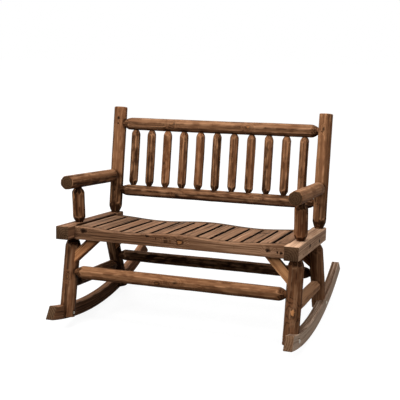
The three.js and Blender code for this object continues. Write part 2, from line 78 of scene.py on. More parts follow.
# Seat frame
BEAM_TOP = 0.466
BEAM_HEIGHT = 0.062
BEAM_LENGTH = 0.587
BEAM_REAR_CORNER = 0.014
RAIL_BOTTOM = 0.400
RAIL_DEPTH = 0.062
RAIL_Y = {"front": 0.057, "rear": 0.500}
RAIL_LIP = {"front": 0.034, "rear": 0.030}
SADDLE_TOP = 0.460
SADDLE_DEPTH = 0.012
SLAT_THICKNESS = 0.020
SLAT_EDGE = 3.4 * MM
SLAT_WAVINESS = 0.9 * MM

# Braces
BRACE_WIDTH = 0.042
BRACE_THICKNESS = 0.038
BRACE_FOOT_Z = 0.319
BRACE_SHIFT = {"front": -0.004, "rear": -0.005}
BRACE_PIN_INSET = 0.015

# Screws and bolts
PIT_RADIUS = 4.8 * MM
PIT_DEPTH = 8 * MM
PIN_INSET = 0.006
ARM_POST_PIN_DROP = 0.015
SCREW_SINK = 2 * MM
BOLT_RADIUS = 4 * MM
SPOT_FACE_RADIUS = 12 * MM
SPOT_FACE_DEPTH = 9 * MM
FLANGE_THICKNESS = 2 * MM
NUT_THICKNESS = 6.5 * MM
NUT_SIDES = 48
BOLT_SHIFT = {"front": 0.0, "rear": 8 * MM}

# Fineness of the meshes
LOG_SIDES = 64
TAPER_STEP = 2.6 * MM
BODY_STEP = 14 * MM
TIMBER_STEP = 18 * MM
ARC_STEPS = 72
BRACE_STEPS = 9
BOARD_STEPS = 28
SMOOTH_BELOW = math.radians(38)
METAL_SMOOTH_BELOW = math.radians(30)
OVERRUN = 0.08

# How alike two directions are, as the cosine between them
FACING = 0.8
SAME_FACING = 0.9999
RUNS_BACK = 0.7


# Shapes as points and faces

def band(low, high, around):
    """Faces between two rings of points, which start at two numbers."""
    steps = [(k, (k + 1) % around) for k in range(around)]
    return [(low + k, low + after, high + after, high + k) for k, after in steps]


def pointed_tube(rings, around):
    """Faces of a tube whose two tips come after its rings of points."""
    tip = rings * around
    faces = [(tip, (k + 1) % around, k) for k in range(around)]
    for low in range(0, tip - around, around):
        faces += band(low, low + around, around)
    return faces + [(tip + 1, tip - around + k, tip - around + (k + 1) % around) for k in range(around)]


def flat_tube(rings, around):
    """Faces of a tube of rings, closed flat at both ends."""
    last = (rings - 1) * around
    faces = [tuple(reversed(range(around)))]
    for low in range(0, last, around):
        faces += band(low, low + around, around)
    return faces + [tuple(range(last, last + around))]


def turned(profile, origin, direction, sides):
    """Revolves (radius, distance) points, the first and last on the axis, about a line."""
    turn = direction.to_track_quat("Z", "Y").to_matrix()
    angles = [2 * math.pi * k / sides for k in range(sides)]
    spots = [(r * math.cos(a), r * math.sin(a), z) for r, z in profile[1:-1] for a in angles]
    spots += [(0, 0, profile[0][1]), (0, 0, profile[-1][1])]
    return [origin + turn @ Vector(spot) for spot in spots], pointed_tube(len(profile) - 2, sides)


def drum(origin, direction, radius, start, end, sides=32):
    profile = [(0, start), (radius, start), (radius, end), (0, end)]
    return turned(profile, origin, direction, sides)


def outward(points, faces):
    """The points as an array, and the faces turned to point outwards."""
    spots = np.array([tuple(p) for p in points])
    fans = [(face[0], *pair) for face in faces for pair in zip(face[1:], face[2:])]
    first, second, third = spots[np.array(fans, int).reshape(-1, 3).T]
    if (first * np.cross(second, third)).sum() < 0:
        faces = [face[::-1] for face in faces]
    return spots, faces


def placed(name, data):
    made = bpy.data.objects.new(name, data)
    bpy.context.scene.collection.objects.link(made)
    return made


def new_object(name, points, faces):
    spots, faces = outward(points, faces)
    mesh = bpy.data.meshes.new(name)
    mesh.from_pydata(spots.tolist(), [], faces)
    mesh.update()
    return placed(name, mesh)


def settle(piece):
    """Turns a piece with modifiers into its plain final mesh."""
    graph = bpy.context.evaluated_depsgraph_get()
    mesh = bpy.data.meshes.new_from_object(piece.evaluated_get(graph))
    piece.modifiers.clear()
    piece.data = mesh


def cut_away(piece, shapes):
    points, faces = [], []
    for spots, own_faces in (outward(*shape) for shape in shapes):
        faces += [tuple(len(points) + k for k in face) for face in own_faces]
        points += spots.tolist()
    cutter = new_object("cutter", points, faces)
    change = piece.modifiers.new("cut", "BOOLEAN")
    change.operation = "DIFFERENCE"
    change.solver = "EXACT"
    change.use_self = True
    change.object = cutter
    settle(piece)
    bpy.data.objects.remove(cutter)


def soften(piece, crease=SMOOTH_BELOW):
    """Shades a mesh smooth, but sharp along its strong edges."""
    mesh = piece.data
    mesh.polygons.foreach_set("use_smooth", [True] * len(mesh.polygons))
    mesh.set_sharp_from_angle(angle=crease)


def carried(points, matrix):
    """An array of points, carried by a matrix."""
    table = np.array(matrix)
    return points @ table[:3, :3].T + table[:3, 3]


def axes_at(origin, along, face):
    """Axes on a piece: z along it, and x towards a face."""
    along = along.normalized()
    face = (face - along * face.dot(along)).normalized()
    turn = Matrix((face, along.cross(face), along)).transposed().to_4x4()
    return Matrix.Translation(origin) @ turn


def side_of(node, way):
    """The x of a node's right side, or of its left one for a negative way."""
    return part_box(node)[1 if way > 0 else 0].x


# The bench on the floor

def standing():
    low = [v.co.y for v in nodes["rocker_left"].data.vertices if v.co.z < TOUCH]
    centre = Vector((0, (min(low) + max(low)) / 2, ROLL_RADIUS))
    tip = Matrix.Rotation(-TILT, 4, "X")
    return Matrix.Translation(centre) @ tip @ Matrix.Translation((0, -ROLL_CENTRE_Y, -ROLL_RADIUS))


stand = standing()
to_level = stand.inverted()
right_way = Vector((1, 0, 0))
back_way = Vector((0, 1, 0))
level_back = stand.to_3x3() @ back_way
level_up = stand.to_3x3() @ Vector((0, 0, 1))
roll_centre = stand @ Vector((0, ROLL_CENTRE_Y, ROLL_RADIUS))


def flat_end(name, heading):
    """The middle of a node's flat end on that side, and the way that the end faces."""
    faces = [f for f in nodes[name].data.polygons if f.normal.dot(heading) > FACING]
    farthest = max(faces, key=lambda f: f.center.dot(heading))
    way = farthest.normal.copy()
    plane = farthest.center.dot(way)
    level_with = [f for f in faces if abs(f.center.dot(way) - plane) < FIT]
    end = [f for f in level_with if f.normal.dot(way) > SAME_FACING]
    return sum((f.center * f.area for f in end), Vector()) / sum(f.area for f in end), way


def on_arc(x, radius, angle):
    """A level place on an arc about the rockers' centre."""
    return Vector((x, ROLL_CENTRE_Y + radius * math.sin(angle), ROLL_RADIUS - radius * math.cos(angle)))


def arc_reach(start, down, radius):
    """How far a line runs from its start to an arc about the rockers' centre."""
    across = start - roll_centre
    across.x = 0
    along = across.dot(down)
    return math.sqrt(along**2 - across.length_squared + radius**2) - along


# Logs, each between two ends that are tenoned or sawn
Tenon = namedtuple("Tenon", "radius length taper neck")
Log = namedtuple("Log", "start end radius low high")
Knot = namedtuple("Knot", "share angle size glow")

CROSS_TENON = Tenon(18.5 * MM, 42 * MM, 34 * MM, 2 * MM)
SPINDLE_TENON = Tenon(13 * MM, 20 * MM, 28 * MM, 2 * MM)
STRETCHER_TENON = Tenon(18.5 * MM, 42 * MM, 32 * MM, 4 * MM)
ARM_TENON = Tenon(18.5 * MM, 42 * MM, 40 * MM, 4 * MM)
LEG_TENON = Tenon(18.5 * MM, 44 * MM, 46 * MM, 5 * MM)
POST_TENON = Tenon(20.5 * MM, 44 * MM, 46 * MM, 4 * MM)
ARM_POST_LOW = Tenon(17.5 * MM, 42 * MM, 30 * MM, 3.5 * MM)
ARM_POST_HIGH = Tenon(17.5 * MM, 28 * MM, 30 * MM, 3.5 * MM)
SAWN = None
LOG_RADII = {
    "back_top_rail": 0.031, "back_lower_rail": 0.028, "back_spindle": 0.022, "back_post": 0.033,
    "armrest": 0.032, "arm_post": 0.030, "front_leg": 0.035, "rear_leg": 0.034,
    "side_stretcher": 0.0285, "front_stretcher": 0.0295, "rear_stretcher": 0.028,
}

logs = {}
hosts = {}


def radius_of(name):
    return next(radius for kind, radius in LOG_RADII.items() if name.startswith(kind))


def plan_log(name, heading, low, high, low_host=None, high_host=None):
    start, end = flat_end(name, -heading)[0], flat_end(name, heading)[0]
    logs[name] = Log(start, end, radius_of(name), low, high)
    hosts[name] = (low_host, high_host)


def plan_leg(name, beam):
    """A leg runs from its tenon down past the rocker, and is cut to its foot later."""
    top, facing = flat_end(name, level_up)
    radius = radius_of(name)
    foot = top - facing * arc_reach(top, -facing, ROLL_RADIUS + radius)
    logs[name] = Log(top, foot, radius, LEG_TENON, SAWN)
    hosts[name] = (beam, None)


def plan_logs():
    posts = ("back_post_left", "back_post_right")
    for rail in BACK_RAILS:
        plan_log(rail, right_way, CROSS_TENON, CROSS_TENON, *posts)
    for name in nodes:
        if name.startswith("back_spindle"):
            plan_log(name, level_up, SPINDLE_TENON, SPINDLE_TENON, "back_lower_rail", "back_top_rail")
    for side, _ in SIDES:
        beam, post, arm = f"seat_beam_{side}", f"back_post_{side}", f"armrest_{side}"
        legs = [f"{place}_leg_{side}" for place in PLACES]
        plan_log(post, level_up, POST_TENON, SAWN, beam)
        plan_log(arm, level_back, SAWN, ARM_TENON, None, post)
        plan_log(f"arm_post_{side}", level_up, ARM_POST_LOW, ARM_POST_HIGH, beam, arm)
        for leg in legs:
            plan_leg(leg, beam)
        plan_log(f"side_stretcher_{side}", level_back, STRETCHER_TENON, STRETCHER_TENON, *legs)
    for place in PLACES:
        legs = [f"{place}_leg_{side}" for side, _ in SIDES]
        plan_log(f"{place}_stretcher", right_way, STRETCHER_TENON, STRETCHER_TENON, *legs)


def way_of(log):
    return (log.end - log.start).normalized()


def log_axes(log):
    """Axes on a log, whose x faces the front, or up on a log that runs back."""
    face = Vector((0, -1, 0)) if abs(way_of(log).y) < RUNS_BACK else Vector((0, 0, 1))
    return axes_at(log.start, way_of(log), face)


def tenons_in(host):
    """The tip, direction out and tenon of each log end that a piece holds."""
    for name, owners in hosts.items():
        log, way = logs[name], way_of(logs[name])
        for owner, tip, out, tenon in zip(owners, (log.start, log.end), (way, -way), (log.low, log.high)):
            if owner == host:
                yield tip, out, tenon


# Places of the screws and bolts
Pin = namedtuple("Pin", "host entry direction")
pins = []


def plan_pin(host, entry, direction):
    pins.append(Pin(host, entry, direction.normalized()))


def crossing(name, other):
    """The point on one log's axis where another log's axis meets it."""
    first, second = logs[name], logs[other]
    return intersect_line_line(first.start, first.end, second.start, second.end)[0]


def plan_pins():
    for side, sign in SIDES:
        inward = -sign * right_way
        post = f"back_post_{side}"
        for rail in BACK_RAILS:
            spot = crossing(post, rail) + inward * PIN_INSET
            plan_pin(post, spot - level_back * logs[post].radius, level_back)
        for place in PLACES:
            way = INWARD[place] * level_back
            leg = f"{place}_leg_{side}"
            skin = logs[leg].radius / abs(way_of(logs[leg]).dot(level_up))
            spot = crossing(leg, f"{place}_stretcher") + inward * PIN_INSET
            plan_pin(leg, spot - way * skin, way)
            spot = crossing(leg, f"side_stretcher_{side}") + way * PIN_INSET
            plan_pin(leg, spot - inward * logs[leg].radius, inward)
        plan_beam_pins(f"seat_beam_{side}", side, sign)
        for place in PLACES:
            plan_brace_pins(place, side, sign)


def plan_beam_pins(beam, side, sign):
    tenon_z = (RAIL_BOTTOM + SADDLE_TOP - SLAT_THICKNESS) / 2
    spots = [(RAIL_Y[place] + INWARD[place] * RAIL_DEPTH / 2, tenon_z) for place in PLACES]
    foot = to_level @ logs[f"arm_post_{side}"].start
    for y, z in [*spots, (foot.y, BEAM_TOP - ARM_POST_PIN_DROP)]:
        plan_pin(beam, stand @ Vector((side_of(beam, sign), y, z)), -sign * right_way)


def leg_point(place, side, x, z):
    """A level place at height z on the axis of a leg, set over to x."""
    leg = logs[f"{place}_leg_{side}"]
    top, end = to_level @ leg.start, to_level @ leg.end
    return Vector((x, top.y + (end.y - top.y) * (z - top.z) / (end.z - top.z), z))


def leg_back(place, side):
    """The level direction square to a leg, towards the back."""
    up = to_level.to_3x3() @ -way_of(logs[f"{place}_leg_{side}"])
    return Vector((0, up.z, -up.y))


def plan_brace_pins(place, side, sign):
    leg = logs[f"{place}_leg_{side}"]
    skin_x = abs(leg.start.x) - leg.radius
    drop = BRACE_WIDTH / 2 / math.cos(math.pi / 4)
    foot_z = BRACE_FOOT_Z - drop + BRACE_PIN_INSET
    top_z = RAIL_BOTTOM - BRACE_PIN_INSET
    over = leg_back(place, side) * BRACE_SHIFT[place]
    low_pin = (BRACE_PIN_INSET, foot_z, sign * right_way)
    high_pin = (top_z - BRACE_FOOT_Z + drop, top_z, level_up)
    for inset, z, way in (low_pin, high_pin):
        spot = leg_point(place, side, sign * (skin_x - inset), z) + over
        plan_pin(f"brace_{place}_{side}", stand @ spot, way)


def bolt_centre(place, side, sign):
    """Where a rocker bolt enters the outer face of its rocker."""
    leg = logs[f"{place}_leg_{side}"]
    radius = ROLL_RADIUS - ROCKER_HEIGHT / 2
    on_axis = to_level @ (leg.start + way_of(leg) * arc_reach(leg.start, way_of(leg), radius))
    angle = math.atan2(on_axis.y - ROLL_CENTRE_Y, ROLL_RADIUS - on_axis.z) + BOLT_SHIFT[place] / radius
    return stand @ on_arc(side_of(f"rocker_{side}", sign), radius, angle)


def spot_face_distance(place, side):
    rocker = f"rocker_{side}"
    width = side_of(rocker, 1) - side_of(rocker, -1)
    return width + FIT + logs[f"{place}_leg_{side}"].radius - SPOT_FACE_DEPTH


# What is cut out of a leg

def arc_slab(inner, outer, x0, x1):
    """A slab between two arcs about the rockers' centre."""
    first = ROCKER_FRONT_ANGLE - OVERRUN
    span = ROCKER_REAR_ANGLE + OVERRUN - first
    points = []
    for k in range(ARC_STEPS + 1):
        for x, radius in ((x0, inner), (x1, inner), (x1, outer), (x0, outer)):
            points.append(stand @ on_arc(x, radius, first + span * k / ARC_STEPS))
    return points, flat_tube(ARC_STEPS + 1, len(SQUARE))


def leg_cutters(place, side, sign):
    """The lap that stands on the rocker, the sole of the cheek beside it, and the bolt's hole."""
    inner_x = side_of(f"rocker_{side}", -sign) - sign * FIT
    outer_x = inner_x + sign * OVERRUN
    below = ROLL_RADIUS + OVERRUN
    lap = arc_slab(ROCKER_TOP_RADIUS - FIT, below, inner_x, outer_x)
    sole = arc_slab(ROLL_RADIUS - FOOT_LIFT, below + FIT, inner_x - sign * OVERRUN, outer_x)
    seat, bore = spot_face_distance(place, side), BOLT_RADIUS + FIT
    profile = [(0, -OVERRUN), (bore, -OVERRUN), (bore, seat), (SPOT_FACE_RADIUS, seat)]
    profile += [(SPOT_FACE_RADIUS, seat + OVERRUN), (0, seat + OVERRUN)]
    return [lap, sole, turned(profile, bolt_centre(place, side, sign), -sign * right_way, 24)]


# Each piece's colour and knots: its tone is darker below zero, its warmth is redder above. The tones also
# paint light and shade: the pieces in shade under and behind the seat, the left rear leg most, are darker,
# and the pieces on the right that face the light are lighter than their twins on the left.

Look = namedtuple(
    "Look", "finish tone warmth knots flatness low_part bow high_cut",
    defaults=((), 0.02, (0.0, 0.0), 1.2 * MM, 1.0),
)
FRONT_Y = RAIL_Y["front"]
BEAM_SIDE_X = 0.5805
LOOKS = {
    "seat_beam_left": Look("stained_beam", 0.0, 0.5),
    # The right beam and rocker use lighter copies of the stain: painted light on the sides that face the
    # light
    "seat_beam_right": Look("weathered_beam", 0.28, 0.1, (
        ((BEAM_SIDE_X, 0.220, 0.436), 9 * MM, 0.0), ((BEAM_SIDE_X, 0.420, 0.425), 9 * MM, 0.0))),
    "seat_front_rail": Look("stained_beam", 0.07, 0.2, (
        ((-0.467, FRONT_Y, 0.443), 10 * MM, 0.0), ((0.018, FRONT_Y, 0.430), 11 * MM, 0.55),
        ((-0.050, FRONT_Y, 0.428), 6 * MM, 0.1), ((-0.141, FRONT_Y, 0.447), 6 * MM, 0.0),
        ((0.430, FRONT_Y, 0.430), 7 * MM, 0.0), ((0.490, FRONT_Y, 0.423), 5 * MM, 0.0))),
    "seat_rear_rail": Look("stained_beam", -0.22, 0.2),
    "rocker_left": Look("stained_beam", 0.02, 0.9),
    "rocker_right": Look("weathered_rocker", 0.42, 0.25),
    "brace_front_left": Look("stained_brace", 0.06, 0.9),
    "brace_front_right": Look("stained_brace", 0.28, 0.6),
    "brace_rear_left": Look("stained_brace", 0.02, 0.5),
    "brace_rear_right": Look("stained_brace", -0.05, 0.4),
    # The back posts carry a painted shadow below the arms: the share of the length it reaches up to, and how
    # much darker it is
    "back_post_left": Look("stained_log", 0.0, 0.4, (Knot(0.90, 10, 6 * MM, 0.0),), 0.03, (0.44, -0.34)),
    "back_post_right": Look("stained_log", 0.05, 0.0, (
        Knot(0.873, 3, 6 * MM, 0.0), Knot(0.30, -30, 7 * MM, 0.0)), 0.03, (0.44, -0.16)),
    "back_top_rail": Look("smooth_log", -0.03, 0.1, (
        Knot(0.282, -25, 10 * MM, 0.3), Knot(0.65, -20, 8 * MM, 0.5))),
    "back_lower_rail": Look("smooth_log", -0.15, 0.5, (
        Knot(0.33, 10, 9 * MM, 0.0), Knot(0.71, 5, 9 * MM, 0.1))),
    "armrest_left": Look("smooth_log", -0.1, 0.35, flatness=0.006),
    "armrest_right": Look("smooth_log", 0.12, -0.5, flatness=0.006),
    "arm_post_left": Look("stained_log", -0.12, 0.7, flatness=0.035),
    "arm_post_right": Look("stained_log", -0.12, 0.8, flatness=0.03),
    "front_leg_left": Look("smooth_log", -0.1, 0.6, (Knot(0.50, -5, 7 * MM, 0.3),)),
    "front_leg_right": Look("smooth_log", -0.1, 0.8, (Knot(0.60, -11, 13 * MM, 1.0),)),
    "rear_leg_left": Look("smooth_log", -0.65, 0.9),
    "rear_leg_right": Look("smooth_log", 0.12, 0.5),
    "front_stretcher": Look("stained_log", 0.02, 0.3, (
        Knot(0.42, 10, 8 * MM, 0.3), Knot(0.50, -20, 7 * MM, 0.0), Knot(0.60, 30, 7 * MM, 0.4)), 0.012),
    "rear_stretcher": Look("smooth_log", -0.2, 0.3, flatness=0.015),
    "side_stretcher_left": Look("smooth_log", -0.1, 0.4, flatness=0.012),
    "side_stretcher_right": Look("smooth_log", 0.42, 0.2, flatness=0.012),
}
SPINDLE_TINTS = (
    (-0.25, 0.1), (-0.13, 0.2), (0.01, 0.8), (-0.13, 0.4), (0.0, 0.7), (-0.16, -0.4),
    (-0.12, 0.1), (-0.12, 0.4), (-0.1, 0.4), (-0.12, 0.3), (-0.14, 0.2),
)
SLAT_TINTS = (
    (-0.04, 0.1), (-0.08, 0.2), (0.02, 0.3), (-0.04, 0.3), (-0.02, 0.2), (0.0, 0.3), (0.04, 0.3),
    (-0.02, 0.2), (0.02, 0.2), (-0.02, 0.3), (0.03, 0.2), (-0.05, 0.1), (0.02, 0.3), (-0.03, 0.2),
)
SLAT_KNOTS = {
    4: (((-0.30, 0.33, 0.452), 7 * MM, 0.2),),
    8: (((0.02, 0.20, 0.460), 6 * MM, 0.3),),
    12: (((0.33, 0.36, 0.451), 8 * MM, 0.1),),
}
for number, tint in enumerate(SLAT_TINTS, 1):
    LOOKS[f"seat_slat_{number:02d}"] = Look("stained_slat", *tint, SLAT_KNOTS.get(number, ()))
for number, tint in enumerate(SPINDLE_TINTS, 1):
    rng = random.Random(f"back_spindle_{number:02d} knots")
    knots = [
        Knot(rng.uniform(0.2, 0.8), rng.uniform(-150, 150), rng.uniform(3, 6) * MM, rng.uniform(0, 0.5))
        for _ in range(2)
    ]
    # The spindles' upper knife cuts carry painted light
    LOOKS[f"back_spindle_{number:02d}"] = Look("stained_log", *tint, knots, 0.04, bow=0.8 * MM, high_cut=-0.6)

# Painted light on the left rocker's top face and painted shadow on the right one's, and where the heart of
# each rocker's wood lay
ROCKER_TOP_PAINTED_LIGHT_AND_SHADE = {"left": 0.1, "right": -0.34}
ROCKER_HEART = {"left": (-0.060, ROLL_RADIUS + 0.03), "right": (-0.085, ROLL_RADIUS - 0.04)}

# Torn bark: from and to as shares of the length, from and to in degrees round, and half its width
TEARS = {"arm_post_left": (0.26, 0.86, -50, -16, 3.4 * MM)}
TEAR_SWING = 0.12
TORN_RIDGE = 5.0
TORN_SHADE = 0.8
# Painted shade along the top of each beam's inner face, in the gap beside the slats: its width and how dark
# it is
SEAM_PAINTED_SHADE_WIDTH = 3.5 * MM
SEAM_PAINTED_SHADE = -0.8


# Surface notes that the wood materials read, worked out from each point's place, painted light and shade
# among them

Marks = namedtuple("Marks", "points ridge end cut shade")


def beside_line(points, origin, way):
    """How far along a line the points lie, and how far from it."""
    offset = points - np.array(origin)
    along = offset @ np.array(way)
    return along, np.linalg.norm(offset - along[:, None] * np.array(way), axis=1)


def painted_joint_shade(points, host):
    """Painted shade on a log round the mouths of its sockets, where other pieces go in."""
    share = np.zeros(len(points))
    for tip, way, tenon in tenons_in(host):
        rise, radial = beside_line(points, tip, way)
        near = np.clip(1 - (radial - tenon.radius) / JOINT_PAINTED_SHADE_WIDTH, 0, 1)
        share = np.maximum(share, np.where(rise > 0, near, 0))
    return JOINT_PAINTED_SHADE * share


def curved_grain(points, heart_x, heart_radius):
    """Grain places on a rocker, whose grain follows the arc."""
    back = points[:, 1] - roll_centre.y
    down = roll_centre.z - points[:, 2]
    run = ROLL_RADIUS * np.arctan2(back, down)
    return np.stack([points[:, 0] - heart_x, np.hypot(back, down) - heart_radius, run], 1)


def points_of(mesh):
    points = np.empty(len(mesh.vertices) * 3, np.float32)
    mesh.vertices.foreach_get("co", points)
    return points.reshape(-1, 3).astype(float)


def write_vectors(mesh, name, values):
    layer = mesh.attributes.new(name, "FLOAT_VECTOR", "POINT")
    layer.data.foreach_set("vector", np.asarray(values, np.float32).ravel())


def dress(piece, node, to_grain, marks, knots):
    """Writes where the grain runs, the nearest knot, worn ridges, sawn ends, knife cuts and shaded slat
    sides, and each point's tone with its painted light and shade.
    """
    mesh = piece.data
    points = points_of(mesh)
    count = len(points)
    tree = KDTree(len(marks.points))
    for index, point in enumerate(marks.points):
        tree.insert(point, index)
    tree.balance()
    nearest = [tree.find(point)[1] for point in points]
    ridge, end, cut, shade = (values[nearest] for values in marks[1:])
    for pin in pins:
        if pin.host == node:
            depth, radial = beside_line(points, pin.entry, pin.direction)
            pit = (radial < PIT_RADIUS + FIT) & (depth > PIT_DEPTH / 2)
            ridge[pit], end[pit], cut[pit] = 0, 0, 1
    local = to_grain(points)
    start = random.Random(piece.name + " grain").uniform(1, 60)
    write_vectors(mesh, "grain", local + np.array([0, 0, start]))
    write_vectors(mesh, "marks", np.stack([ridge, end, cut], 1))
    glow = np.zeros(count)
    offset = np.ones((count, 3))
    best = np.full(count, np.inf)
    for place, size, shine in knots:
        away = (local - np.array(place)) / size
        distance = np.linalg.norm(away, axis=1)
        closer = distance < best
        offset[closer], best[closer], glow[closer] = away[closer], distance[closer], shine
    write_vectors(mesh, "knot", offset)
    look = LOOKS[node]
    write_vectors(mesh, "tint", np.stack([look.tone + shade, np.full(count, look.warmth), glow], 1))


def declare(piece, slot, *replaced):
    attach(piece, "root")
    if replaced:
        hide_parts(*replaced)


def complete(piece, node, to_grain, marks, slot, knots=(), cutters=()):
    """Bores a wooden piece, gives it its look and puts it in its node's place."""
    shapes = list(cutters)
    for tip, way, tenon in tenons_in(node):
        shapes.append(drum(tip, way, tenon.radius + FIT, -FIT, tenon.length + tenon.neck))
    for pin in pins:
        if pin.host == node:
            shapes.append(drum(pin.entry, pin.direction, PIT_RADIUS, -OVERRUN / 2, PIT_DEPTH, 20))
    if shapes:
        cut_away(piece, shapes)
    dress(piece, node, to_grain, marks, knots)
    soften(piece)
    piece.data.materials.clear()
    piece.data.materials.append(materials[LOOKS[node].finish])
    declare(piece, slot, node)


def complete_board(piece, node, heart, along, face, marks, slot, cutters=()):
    """Completes a piece of straight grain, whose heart and knots have level places."""
    axes = axes_at(Vector(heart), along, face)
    knots = [(axes.inverted() @ Vector(place), size, glow) for place, size, glow in LOOKS[node].knots]
    to_grain = partial(carried, matrix=(stand @ axes).inverted())
    complete(piece, node, to_grain, marks, slot, knots, cutters)


# Hewn logs

FLAT_COUNTS = (7, 8, 9)
FLAT_DRIFT_SHARE = 0.22
FLAT_TWIST = 0.09
FLAT_UNEVENNESS = 1.6
BARK_SHARE = 1.035
FLAT_SHARE = 1.006
FLAT_SWING_SHARE = 0.01
FLAT_SHADE = 0.07
# Painted light on the log flats: how much lighter a flat is the more it faces the way below, up and to the
# left
FLAT_PAINTED_LIGHT = 0.12
FLAT_PAINTED_LIGHT_WAY = Vector((-0.6, 0, 0.8))
# Painted shade round the mouths of a log's sockets, and how far out from the tenon it reaches
JOINT_PAINTED_SHADE = -0.5
JOINT_PAINTED_SHADE_WIDTH = 11 * MM
CONE_POWER = 1.64
CONE_CUTS = 8
CONE_DRIFT_SHARE = 0.12
CONE_LENGTH_SHARES = (0.84, 1.14)
CONE_RUNOUT = 0.3
TAPER_REACH_SHARE = 1.25
SAWN_ROUND = 3.5 * MM
SAWN_STOP_SHARES = (0, 0.12, 0.4, 1)
RIDGE_WIDTH = 0.7 * MM
CUT_FADE = 1.5 * MM
HEWN_ROUGHNESS = 0.55 * MM
HEWN_WAVES = 7
HEWN_TURNS = (1, 2, 2, 3, 4)
KNOT_RISE_SHARE = 0.14
KNOT_LENGTH_SHARE = 1.7
KNOT_WIDTH_SHARE = 1.3
PAINTED_SHADOW_FADE_SHARE = 0.08
HEART_DRIFT = 6 * MM
WIDEST_FLAT = 1.2

# Shortest and longest waves along a log
TWIST_WAVES = (0.5, 1.1)
DEPTH_WAVES = (0.25, 0.7)
ROUGH_WAVES = (0.05, 0.4)
BOW_WAVES = (0.6, 1.2)
TEAR_WAVES = (0.03, 0.06)


def stations_along(length, log):
    """Distances along a log: close together on the tapers and sawn edges, wide between."""
    def end_stops(tenon):
        if tenon is SAWN:
            return [share * SAWN_ROUND for share in SAWN_STOP_SHARES]
        seat = tenon.length + tenon.neck
        reach = tenon.taper * TAPER_REACH_SHARE
        steps = math.ceil(reach / TAPER_STEP)
        taper = [seat + reach * k / steps for k in range(steps + 1)]
        return [0, seat * 0.5, seat - TAPER_STEP, *taper]

    low, high = end_stops(log.low), end_stops(log.high)
    span = length - high[-1] - low[-1]
    steps = max(1, math.ceil(span / BODY_STEP))
    body = [low[-1] + span * k / steps for k in range(1, steps)]
    return np.array(sorted(low + body + [length - stop for stop in high]))


def swing(rng, distance, low, high):
    """A gentle wave along the log with a wavelength between two lengths."""
    wave = rng.uniform(low, high)
    return np.sin(2 * math.pi * (distance / wave + rng.random()))


def folded(angle):
    """The same angle, between minus and plus half a turn."""
    return (angle + math.pi) % (2 * math.pi) - math.pi


def plane_radius(reach, angle):
    """How far out a flat at that reach from the axis is, at an angle from its middle."""
    aside = np.abs(folded(angle))
    return np.where(aside < WIDEST_FLAT, reach / np.cos(np.minimum(aside, WIDEST_FLAT)), np.inf)


def body_flats(rng, log, axes, along, around, flatness):
    """The long flats that a drawknife leaves along a log, and their shades: a random tone each, plus painted
    light that makes the flats facing up and to the left lighter and those facing away darker.
    """
    count = rng.choice(FLAT_COUNTS)
    layers = [log.radius * BARK_SHARE + 0 * (along + around)]
    shades = [0.0]
    for k in range(count):
        middle = 2 * math.pi * (k + rng.uniform(-FLAT_DRIFT_SHARE, FLAT_DRIFT_SHARE)) / count
        out = axes.to_3x3() @ Vector((math.cos(middle), math.sin(middle), 0))
        # A random tone, plus painted light by the way that the flat faces
        shades.append(rng.uniform(-FLAT_SHADE, FLAT_SHADE) + FLAT_PAINTED_LIGHT * out.dot(FLAT_PAINTED_LIGHT_WAY))
        middle = middle + FLAT_TWIST * swing(rng, along, *TWIST_WAVES)
        share = FLAT_SHARE - flatness * rng.uniform(0.0, FLAT_UNEVENNESS)
        reach = log.radius * (share + FLAT_SWING_SHARE * swing(rng, along, *DEPTH_WAVES))
        layers.append(plane_radius(reach, around - middle))
    return layers, shades


def knife_cuts(rng, log, tenon, from_tip, around):
    """The facets cut from the full log down to a tenon."""
    past = from_tip - tenon.length - tenon.neck
    layers = []
    for k in range(CONE_CUTS):
        middle = 2 * math.pi * (k + rng.uniform(-CONE_DRIFT_SHARE, CONE_DRIFT_SHARE)) / CONE_CUTS
        run = tenon.taper * rng.uniform(*CONE_LENGTH_SHARES)
        rise = 1 - (1 - np.clip(past / run, 0, 1)) ** CONE_POWER
        runout = CONE_RUNOUT * np.clip(past - run, 0, None)
        reach = tenon.radius + (log.radius - tenon.radius) * rise + runout
        layers.append(plane_radius(reach, around - middle))
    return layers


def roughness_of(rng, along, around):
    """A fine, smooth unevenness over a log."""
    total = 0
    for _ in range(HEWN_WAVES):
        turns = rng.choice(HEWN_TURNS)
        wave = rng.uniform(*ROUGH_WAVES)
        phase = rng.uniform(0, 2 * math.pi)
        total = total + np.sin(turns * around + 2 * math.pi * along / wave + phase)
    return HEWN_ROUGHNESS * total / HEWN_WAVES


